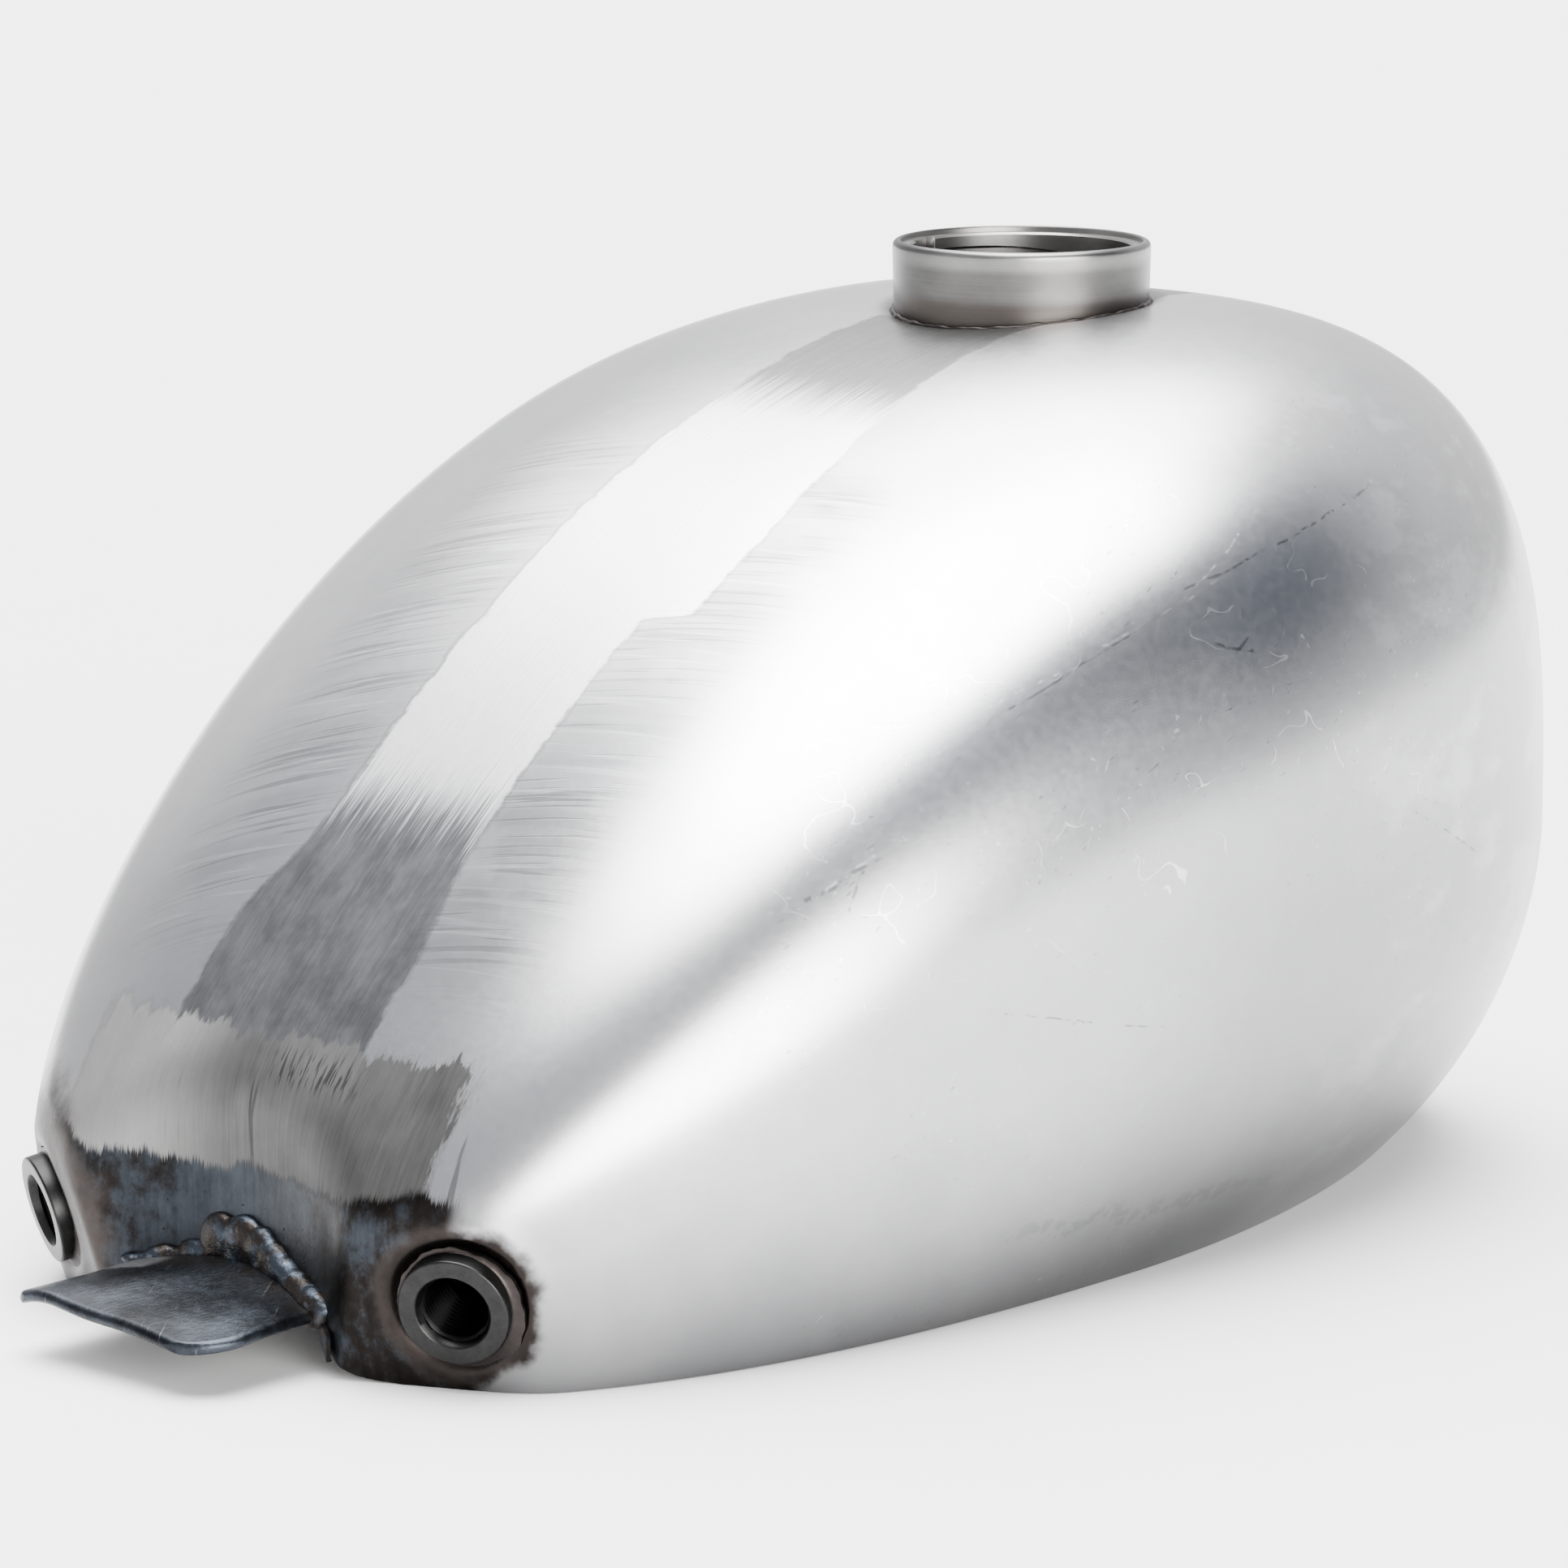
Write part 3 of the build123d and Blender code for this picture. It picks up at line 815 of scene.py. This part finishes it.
class Shader(Graph):
    """One material's nodes. x, y, z and place are in mm."""

    def __init__(self, name):
        self.material = bpy.data.materials.new(name)
        self.material.use_nodes = True
        super().__init__(self.material.node_tree)
        self.place = self.shade(self.node("TexCoord", {}).outputs["Object"], 1000.0)
        split = self.node("SeparateXYZ", {0: self.place})
        self.x, self.y, self.z = [Value(self, socket) for socket in split.outputs]

    def noise(self, per_mm, detail=3.0, roughness=0.55, turn=(0, 0, 0), shift=0.0):
        """Noise from about 0 to 1; per_mm is how many waves a millimetre holds, or how many along
        x, y and z; turn is in degrees."""
        if not isinstance(per_mm, tuple):
            per_mm = (per_mm,) * 3
        mapping = self.node("Mapping", {
            "Vector": self.place,
            "Location": (shift, shift, shift),
            "Rotation": [radians(angle) for angle in turn],
            "Scale": [1 / value for value in per_mm],
        }, vector_type="TEXTURE")
        inputs = {"Vector": mapping.outputs[0], "Scale": 1.0, "Detail": detail, "Roughness": roughness}
        return Value(self, self.node("TexNoise", inputs).outputs["Fac"])

    def scratch(self, start, end, width, broken=0.45):
        """A broken line on the right-hand side, from start to end, each (y, z)."""
        along_y = end[0] - start[0]
        along_z = end[1] - start[1]
        length = sqrt(along_y ** 2 + along_z ** 2)
        unit = (along_y / length, along_z / length)
        from_y = self.y - start[0]
        from_z = self.z - start[1]
        along = from_y * unit[0] + from_z * unit[1]
        across = from_z * unit[0] - from_y * unit[1]
        wander = (self.noise(0.08, 3.0, shift=start[0]) - 0.5) * (width * 6)
        line = self.step(abs(across + wander), width, width * 0.35)
        inside = self.window(along, 0.0, length, length * 0.08) * self.step(self.x, 20.0, 30.0)
        breaks = self.step(self.noise(0.35, 2.0, shift=end[0]), broken, broken + 0.12)
        return line * inside * breaks

    def finish(self, colour, roughness, height=None, bump=0.1, distance=0.2, metallic=1.0):
        """Ends the material; height is scaled to distance in mm and weakened by bump."""
        inputs = {"Metallic": metallic, "Base Color": colour, "Roughness": roughness}
        surface = self.node("BsdfPrincipled", inputs)
        if height is not None:
            inputs = {"Strength": bump, "Distance": distance * MM, "Height": height}
            self.tree.links.new(self.node("Bump", inputs).outputs[0], surface.inputs["Normal"])
        self.node("OutputMaterial", {"Surface": surface.outputs[0]})
        return self.material


# ---- materials
def distance_to_line(m, start, axis):
    """Distance in mm from an axis through start, which is in mm."""
    offset = m.vector_math("SUBTRACT", m.place, tuple(start))
    crossed = m.vector_math("CROSS_PRODUCT", offset, tuple(axis))
    return m.vector_math("LENGTH", crossed)


def body_steel():
    """Raw pressed steel: satin, belt-sanded along the ridge, ground above the tongue, tinted by
    the heat of welding, and scratched from handling."""
    m = Shader("raw_steel_body")
    x_size = abs(m.x)
    upward = m.step(m.z, 58, 66)

    # sheet
    cloud = m.noise(0.018, 3)
    fine = m.noise((0.9, 0.12, 0.9), 3)
    speck = m.noise(0.5, 2)
    tone = 0.93 + cloud * 0.14
    tone = tone + (fine - 0.5) * 0.06
    colour = m.shade(m.mix(cloud, (0.628, 0.640, 0.668), (0.655, 0.652, 0.650)), tone)
    roughness = 0.22 + speck * 0.06
    # painted shade: the sheet is painted darker down the flanks and darker still towards the rim
    low_painted_shade = m.step(m.z + (cloud - 0.5) * 30, 58, -6)
    flank_painted_shade = m.step(m.z, 150, 60)
    colour = m.shade(colour, 1 - (flank_painted_shade * 0.37 + low_painted_shade * 0.4))
    # darker on the right flank towards the front
    darker_right_front = m.step(m.y + cloud * 50, -35, 65) * m.step(m.x, 70, 100)
    darker_right_front = darker_right_front * m.step(m.z, 195, 150)
    colour = m.shade(colour, 1 - darker_right_front * 0.36)

    # scratches across, on both sides of the sanded strip
    lines_a = m.noise((0.011, 0.80, 0.02), 2, 0.7, (0, 0, 13))
    lines_b = m.noise((0.011, 0.62, 0.02), 2, 0.6, (0, 0, 9), 40)
    blotch = m.noise((0.035, 0.06, 0.03), 2, shift=12)
    beside = m.window(x_size, 24, 56, 10) * m.window(m.y, -146, -16, 9)
    beside = beside * (0.35 + m.step(blotch, 0.26, 0.5) * 0.65)
    dark_lines = m.step(lines_a, 0.55, 0.6) * beside
    light_lines = m.step(lines_b, 0.58, 0.63) * beside
    band = m.step(m.noise((0.01, 0.13, 0.02), 2, 0.6, (0, 0, 12), 7), 0.44, 0.6) * beside
    greyed = beside * m.step(m.x, 10, 30)
    colour = m.shade(colour, 1 - (band * 0.15 + greyed * 0.22))
    colour = m.shade(colour, 1 - dark_lines * 0.34)
    colour = m.shade(colour, 1 + light_lines * 0.26)

    rubbed = m.window(x_size, 20, 66, 8) * m.window(m.y, -150, 40, 14)
    rubbed = rubbed * m.step(m.x, 5, -5) * (0.65 + blotch * 0.7)
    colour = m.shade(colour, 1 - rubbed * 0.1)

    # sanded strip along the ridge
    ragged = (m.noise((0.05, 0.1, 0.05), 4, 0.7) - 0.5) * 5
    comb = (m.noise((0.9, 0.05, 0.2), 2) - 0.5) * 2
    right_edge = 26 + m.step(m.y, -69, -64) * m.step(m.y, 60, -50) * 12
    left_edge = 20 + m.step(m.y, -118, -152) * 9
    right_edge = right_edge + m.step(m.y, -118, -152) * 5
    right_side = right_edge + (ragged + comb) - m.x
    left_side = left_edge + (ragged + comb) + m.x
    strip = m.step(right_side, -0.8, 0.8) * m.step(left_side, -0.8, 0.8)
    strip = strip * upward
    brushed = m.noise((1.4, 0.018, 0.05), 3, 0.7)
    brushed_fine = m.noise((3.2, 0.05, 0.1), 2, 0.6, shift=31)
    sweep = m.y + (brushed - 0.5) * 34
    # painted highlight: the middle of the strip is painted far lighter than its ends, for the sheen of
    # its lengthwise sanding
    bright = m.step(sweep, -125, -106) * m.step(sweep, 22, -4)
    low = m.step(sweep, -106, -125)
    stained = low * m.step(m.noise((0.07, 0.03, 0.05), 4, 0.65, shift=121), 0.35, 0.7)
    strip_tone = 0.19 + (bright * 0.89 - stained * 0.08)
    strip_tone = strip_tone * (0.66 + brushed * 0.68)
    strip_tone = strip_tone * (0.78 + brushed_fine * 0.44)
    strip_colour = m.shade(m.mix(low, (1, 1, 1), (0.975, 0.99, 1.02)), strip_tone)
    right_rim = m.window(right_side, -0.9, 0.4, 0.7)
    left_rim = m.window(left_side, -0.9, 0.4, 0.7)
    edge = m.math("MAXIMUM", right_rim, left_rim) * upward
    edge = edge * m.window(m.y, -150, -8, 8)
    colour = m.mix(strip, colour, strip_colour)
    colour = m.shade(colour, 1 - edge * 0.3)
    roughness = roughness + strip * 0.06

    # ground patch above the tongue
    comb_low = (m.noise((0.1, 0.05, 0.03), 2, 0.7, shift=5) - 0.5) * 8
    comb_low = comb_low + (m.noise((3, 0.05, 0.1), 3, 0.8, shift=45) - 0.5) * 7
    comb_high = (m.noise((0.22, 0.05, 0.05), 4, 0.7, shift=9) - 0.5) * 13
    seat_end = m.step(m.y, -140, -150)
    patch_low = m.z + (comb_low - m.step(x_size, 36, 60) * 5)
    patch = m.step(patch_low, 38.5, 41) * m.step(m.z + comb_high, 72, 68)
    across = m.step(m.x + comb_high, 63, 58) * m.step(m.x + comb_high, -56, -50)
    patch = patch * across * seat_end
    brush_down = m.noise((1.1, 0.1, 0.035), 3, 0.7, shift=17)
    blot = m.noise(0.05, 2, shift=23)
    lit_side = m.step(m.x + blot * 16, 6, -26)
    patch_tone = 0.004 + (brush_down * 0.062 + blot * 0.085)
    patch_tone = patch_tone + lit_side * 0.14
    patch_tone = patch_tone * (1 - m.step(m.x + blot * 20, 34, 52) * 0.3)
    colour = m.mix(m.step(patch, 0.05, 0.75), colour, m.shade((1, 0.99, 0.98), patch_tone))
    roughness = roughness + m.step(patch, 0.15, 0.85) * 0.3
    dash_lines = m.step(m.noise((1.3, 0.1, 0.12), 2, 0.6, shift=3), 0.52, 0.60)
    dashes = m.window(m.x, 6, 34, 3) * m.window(m.z, 61, 68, 2)
    streak = m.step(m.noise((0.3, 0.05, 0.018), 2, 0.6, shift=61), 0.64, 0.7)
    streak = streak * m.window(m.z, 42, 60, 3)
    dark_marks = (dash_lines * dashes + streak * 0.8) * seat_end
    colour = m.shade(colour, 1 - m.math("MINIMUM", dark_marks, 1) * 0.62)

    # heat tint on the end face
    border = m.z + (comb_low - m.step(x_size, 36, 60) * 5)
    below = m.step(border, 42, 37.5) * m.step(m.y, -158, -166)
    below = below * (m.step(m.x, 72, 60) * m.step(m.x, -88, -76))
    mottled = m.step(m.noise((0.11, 0.11, 0.08), 5, 0.7, shift=71), 0.22, 0.78)
    run = m.noise((0.6, 0.1, 0.03), 3, 0.6, shift=77)
    blue = m.shade(m.mix(mottled, (0.026, 0.03, 0.036), (0.0115, 0.013, 0.0155)), 0.5 + run * 1)
    brown = m.shade(m.mix(mottled, (0.015, 0.013, 0.012), (0.0065, 0.0057, 0.0054)), 0.6 + run * 0.8)
    browned = m.step(x_size + (mottled - 0.5) * 70, 22, 58)
    tint = m.mix(browned, blue, brown)
    colour = m.mix(m.step(below, 0, 0.6), colour, tint)
    roughness = roughness + below * 0.12

    # heat rings round the outlets
    around = m.noise(0.11, 4, 0.6, shift=83)
    for side in (-1, 1):
        face, out, _, _ = mirrored_frame(side)
        from_axis = distance_to_line(m, face / MM, out)
        near_end = m.step(m.y, -140, -150)
        own_side = m.step(m.x * side, 20, 30)
        reach = from_axis + (around - 0.5) * -9
        spread = 12 if side < 0 else 0
        soft = m.step(reach, 21.5 + spread, 15 + spread) * near_end * own_side
        core = m.step(reach, 20.5 + spread, 16.5 + spread / 2) * near_end * own_side
        ring_tint = m.mix(around, (0.026, 0.0215, 0.0195), (0.0095, 0.0082, 0.0078))
        colour = m.mix(soft * 0.6, colour, m.shade(ring_tint, 3.6))
        colour = m.mix(core, colour, ring_tint)

    # painted shade in the crease round the collar
    from_neck = distance_to_line(m, (0, NECK_Y / MM, 0), (0, 0, 1))
    crease = m.step(from_neck, 39, 31.5) * upward
    crease_painted_shade = m.math("POWER", crease, 2.2) * (0.6 + cloud * 0.6)
    colour = m.mix(m.math("MINIMUM", crease_painted_shade, 0.92), colour, (0.085, 0.072, 0.064))

    # smudges and hair scratches
    smudge = m.noise(0.05, 4, 0.65, shift=101)
    smudge_fine = m.noise(0.35, 3, 0.6, shift=102)
    colour = m.shade(colour, 0.86 + (smudge * 0.2 + smudge_fine * 0.08))
    front_smear = m.step(m.noise((0.028, 0.03, 0.05), 4, 0.6, shift=104), 0.5, 0.62)
    front_smear = front_smear * m.step(m.y, 20, 90)
    colour = m.shade(colour, 1 + front_smear * m.step(m.x, 90, 105) * 0.25)
    bend = m.noise((0.028, 0.020, 0.028), 3, 0.6, shift=111)
    hair = m.step(abs(bend - 0.5), 0.0026, 0.0012)
    hair = hair * m.step(m.noise(0.07, 2, 0.6, shift=112), 0.5, 0.56)
    hair = hair * (m.window(m.z, 84, 168, 14) * m.window(m.y, -100, 70, 20))
    hair = hair * m.step(m.x, 78, 90)
    colour = m.shade(colour, 1 + hair * 0.6)

    # handling marks on the sides
    side_zone = m.step(x_size, 88, 104) * m.step(m.noise(0.02, 2, shift=91), 0.4, 0.58)
    nick_a = m.step(m.noise((0.10, 0.28, 1.3), 2, 0.6, (28, 0, 0), 11), 0.685, 0.72)
    nick_b = m.step(m.noise((0.10, 1.2, 0.25), 2, 0.6, (-35, 0, 0), 19), 0.70, 0.735)
    pale_dot = m.step(m.noise(0.55, 1, 0.5, shift=29), 0.74, 0.78)
    colour = m.shade(colour, 1 - nick_a * side_zone * 0.35)
    colour = m.shade(colour, 1 + (nick_b + pale_dot) * side_zone * 0.35)
    dark_scratches = (
        ((77, 178), (7, 161), 0.35), ((0, 156), (-44, 139), 0.30),
        ((-80, 112), (-98, 103), 0.55), ((-84, 110), (-90, 101), 0.45),
        ((13, 150), (24, 147), 0.55), ((16, 147), (22, 151), 0.45),
        ((-60, 76), (-12, 66), 0.30), ((60, 110), (100, 90), 0.35),
    )
    light_scratches = (
        ((-44, 141), (20, 163), 0.35), ((10, 160), (40, 176), 0.3),
        ((-96, 104), (-76, 115), 0.4),
    )
    for start, end, width in dark_scratches:
        colour = m.shade(colour, 1 - m.scratch(start, end, width) * 0.45)
    for start, end, width in light_scratches:
        colour = m.shade(colour, 1 + m.scratch(start, end, width, 0.5) * 0.6)
    scuff = m.scratch((-46, 22), (52, 17.5), 2.6, 0.40)
    colour = m.shade(colour, 1 - scuff * 0.16)

    height = fine * 0.25 + strip * (brushed * 1.2)
    height = height + patch * (brush_down * 1.4)
    height = height - dark_lines * 0.6
    height = height + below * (mottled * 2.5)
    return m.finish(colour, roughness, height, 0.12, 0.2)


def turned_steel():
    """Turned steel with fine rings round the collar; painted light on its rim and mouth, painted shade
    on its left side and inside, and brownish painted shade at its foot.
    """
    m = Shader("turned_steel_collar")
    from_axis = distance_to_line(m, (0, NECK_Y / MM, 0), (0, 0, 1))
    rings = m.noise((0.02, 0.02, 3), 3, 0.7)
    cloud = m.noise((0.06, 0.06, 0.10), 3, shift=8)
    tone = 0.03 + (rings * 0.035 + cloud * 0.075)
    # painted light: the rim is painted lighter
    rim = m.step(m.z, 219.8, 222.6)
    tone = tone * (1 + rim * 0.9)
    # painted shade: the collar's left side is painted darker
    tone = tone * (1 - m.step(m.x, 10, -18) * 0.68)
    colour = m.shade((1, 0.985, 0.965), tone)
    # painted shade: the surfaces inside the collar's mouth are painted darker
    inside = m.step(from_axis, 29.6, 28.6)
    colour = m.mix(inside * 0.5, colour, (0.055, 0.05, 0.048))
    # painted light: a lighter band on the inner faces just below the rim
    mouth = m.step(m.z, 216.5, 219) * m.step(from_axis, 30.2, 29.4)
    colour = m.mix(mouth * 0.8, colour, (0.22, 0.215, 0.21))
    # painted shade: the foot of the collar is painted dark brown
    low = m.step(m.z, 215, 211.5)
    colour = m.mix(low * 0.8, colour, (0.035, 0.029, 0.026))
    roughness = 0.27 + cloud * 0.1
    return m.finish(colour, roughness, rings + cloud, 0.1, 0.15)


def outlet_steel():
    """Machined, oiled dark steel, painted darker as shade down each bore."""
    m = Shader("dark_machined_steel")
    cloud = m.noise(0.25, 4, 0.6)
    fine = m.noise(2.2, 3, 0.6, shift=4)
    tone = 0.006 + (cloud * 0.018 + fine * 0.012)
    for side in (-1, 1):
        face, out, _, _ = mirrored_frame(side)
        from_face = m.vector_math("SUBTRACT", m.place, tuple(face / MM))
        depth = m.vector_math("DOT_PRODUCT", from_face, tuple(out))
        bore = m.step(distance_to_line(m, face / MM, out), BUNG_MOUTH / MM + 0.6, BUNG_MOUTH / MM)
        own_side = m.step(m.x * side, 20, 30)
        # painted shade: deeper down each bore the steel is painted nearly black
        tone = tone * (1 - m.step(depth, -0.8, -3.5) * bore * own_side * 0.94)
    colour = m.shade((1, 1, 1), tone)
    return m.finish(colour, 0.3 + cloud * 0.12, fine, 0.12, 0.15)


def weld_metal():
    """Weld and braze metal, tinted blue, straw and brown."""
    m = Shader("weld_metal")
    patchy = m.noise(0.16, 3, 0.6, shift=2)
    fine = m.noise(0.8, 4, 0.65, shift=6)
    brown = m.mix(fine, (0.034, 0.029, 0.026), (0.014, 0.0125, 0.012))
    blue = m.mix(fine, (0.046, 0.056, 0.070), (0.017, 0.021, 0.028))
    # painted glints: scattered lighter bluish spots
    bright = m.step(m.noise(0.35, 2, 0.6, shift=13), 0.60, 0.72)
    colour = m.mix(m.step(patchy, 0.46, 0.58), brown, blue)
    colour = m.mix(bright * 0.35, colour, (0.11, 0.12, 0.135))
    return m.finish(colour, 0.26 + fine * 0.25, fine + patchy * 2, 0.4, 0.5)


def braze_metal():
    """The smooth fillet round each outlet, brown-black with a low shine."""
    m = Shader("braze_metal")
    patchy = m.noise(0.14, 3, 0.6, shift=15)
    fine = m.noise(0.9, 3, 0.6, shift=16)
    colour = m.mix(patchy, (0.036, 0.030, 0.028), (0.018, 0.016, 0.016))
    colour = m.shade(colour, 0.8 + fine * 0.5)
    return m.finish(colour, 0.3 + fine * 0.18, patchy + fine, 0.25, 0.3)


def tongue_steel():
    """Hot-rolled plate with a dark skin, scratched and blued near the weld."""
    m = Shader("dark_plate_steel")
    cloud = m.noise(0.05, 4, 0.6, shift=21)
    fine = m.noise((1.2, 0.5, 1.2), 4, 0.65, shift=22)
    colour = m.mix(m.step(cloud, 0.36, 0.64), (0.033, 0.038, 0.046), (0.0075, 0.0085, 0.0105))
    colour = m.shade(colour, 0.6 + fine * 0.8)
    # painted light: the left of the plate is painted lighter
    left_painted_light = m.step(m.x + cloud * 30, 2, -26)
    colour = m.shade(colour, 1 + left_painted_light * 0.7)
    hot = m.step(m.y, -186, -176)
    colour = m.mix(hot * m.step(cloud, 0.42, 0.6), colour, (0.032, 0.028, 0.026))
    lines = m.step(m.noise((1.6, 0.05, 0.1), 2, 0.6, (0, 0, 32), 24), 0.66, 0.73)
    colour = m.mix(lines * 0.4, colour, (0.16, 0.165, 0.17))
    ground = m.step(m.x, -14, -19) * m.window(m.y + fine * 4, -184, -175, 1.5)
    colour = m.mix(ground * 0.8, colour, (0.24, 0.24, 0.245))
    return m.finish(colour, 0.26 + fine * 0.22, fine + cloud * 3, 0.3, 0.4)


def hidden_sheet():
    """The same sheet underneath: duller, with soot and heat tint by the beads."""
    m = Shader("raw_steel_underside")
    cloud = m.noise(0.03, 4, 0.6, shift=33)
    fine = m.noise((0.9, 0.15, 0.9), 3, 0.6, shift=34)
    colour = m.mix(cloud, (0.50, 0.50, 0.505), (0.38, 0.375, 0.365))
    colour = m.shade(colour, 0.85 + fine * 0.3)
    from_tunnel = abs(m.x) - TUNNEL_HALF_WIDTH / MM
    hot = m.step(abs(from_tunnel) + cloud * 6, 12, 4)
    colour = m.mix(hot * 0.75, colour, (0.17, 0.15, 0.14))
    return m.finish(colour, 0.34 + cloud * 0.14, cloud + fine, 0.15, 0.3)


def inside_steel_painted_shade():
    """The inside of the pressings: matt, and painted dark as shade."""
    m = Shader("raw_steel_inside_painted_shade")
    cloud = m.noise(0.04, 4, 0.6, shift=43)
    colour = m.mix(cloud, (0.100, 0.092, 0.085), (0.055, 0.050, 0.048))
    return m.finish(colour, 0.5 + cloud * 0.2, cloud, 0.15, 0.3)


def floor_paper():
    m = Shader("floor_paper")
    grain = m.noise(0.02, 2)
    colour = m.shade((1, 1, 1), 0.72 + grain * 0.02)
    return m.finish(colour, 0.9, metallic=0)


# ---- studio
def direction(azimuth, elevation):
    """A unit vector; azimuth 0 is towards -Y and 90 towards +X."""
    a = radians(azimuth)
    e = radians(elevation)
    return Vector((sin(a) * cos(e), -cos(a) * cos(e), sin(e)))


def make_world():
    """A soft studio: a pale room with a bright ceiling, two bright panels, and greyer areas."""
    world = bpy.data.worlds.new("studio")
    bpy.context.scene.world = world
    world.use_nodes = True
    graph = Graph(world.node_tree)
    ray = graph.node("TexCoord", {}).outputs["Generated"]
    level = (1.28, 1.28, 1.30)
    # each area: azimuth, elevation, and the angles it is full within and gone outside, then tone
    for azimuth, elevation, inner, outer, tone in (
        (0, 45, 10, 42, (0.95, 0.97, 1.02)),
        (-62, 45, 8, 34, (0.80, 0.82, 0.88)),
        (112, 40, 16, 47, (0.09, 0.115, 0.165)),
        (72, 50, 6, 18, (0.35, 0.38, 0.46)),
        (-128, 60, 8, 28, (14, 14, 14)),
        (70, 2, 6, 34, (30, 29.7, 29.1)),
        (0, 90, 14, 33, (26, 26, 26)),
    ):
        nearness = graph.vector_math("DOT_PRODUCT", ray, direction(azimuth, elevation))
        share = graph.step(nearness, cos(radians(outer)), cos(radians(inner)))
        level = graph.mix(share, level, tone)
    background = graph.node("Background", {"Color": level})
    graph.node("OutputWorld", {"Surface": background.outputs[0]})


def make_floor():
    half = 12
    corners = [(-half, -half, 0), (half, -half, 0), (half, half, 0), (-half, half, 0)]
    floor = new_object("floor", corners, [(0, 1, 2, 3)])
    floor.location.z = -0.2 * MM
    floor.data.materials.append(floor_paper())


def dress_cad_node(name, material, slot):
    """A CAD piece whose shape stays as it is gets its finish."""
    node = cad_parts[name]
    node.data.materials.clear()
    node.data.materials.append(material)


def trimmed_copy(name, material, slot):
    """A CAD piece's shape, less the corners of the tunnel's mouth, stands in for the piece."""
    piece = link(name + "_trimmed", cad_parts[name].data.copy())
    merge_close(piece, 0.001 * MM)
    cut(piece, mouth_cutters())
    finish_piece(piece, 35, material, name)


def finish_cad_pieces(by_slot):
    """Each piece keeps its shape or, where it reaches the tunnel's rear mouth, is trimmed."""
    both_sides = (
        (trimmed_copy, "floor", "sheet_steel"), (trimmed_copy, "floor_seam_weld", "weld_metal"),
        (trimmed_copy, "tunnel_seam_weld", "weld_metal"),
        (dress_cad_node, "front_boss_weld", "weld_metal"),
        (dress_cad_node, "front_mount_boss", "outlet_steel"),
    )
    trimmed_copy("tunnel", by_slot["sheet_steel"], "sheet_steel")
    for treat, stem, slot in both_sides:
        for side_name in SIDE_NAMES.values():
            treat(stem + "_" + side_name, by_slot[slot], slot)
    trimmed_copy("tunnel_mouth_weld_rear", by_slot["weld_metal"], "weld_metal")
    dress_cad_node("tunnel_mouth_weld_front", by_slot["weld_metal"], "weld_metal")


def build():
    make_camera()
    make_world()
    make_floor()
    body = body_steel()
    turned = turned_steel()
    dark = outlet_steel()
    weld = weld_metal()
    braze = braze_metal()
    under = hidden_sheet()
    # painted shade: the pressings' inner faces are painted dark
    make_shells(body, inside_steel_painted_shade())
    make_seam(body)
    make_neck(turned)
    make_bayonet_ring(turned)
    make_neck_weld(braze)
    for side in (-1, 1):
        make_bung(side, dark)
        make_bung_weld(side, braze)
    make_tongue(tongue_steel())
    make_tongue_weld(weld)
    finish_cad_pieces({"sheet_steel": under, "weld_metal": weld, "outlet_steel": dark})


build()
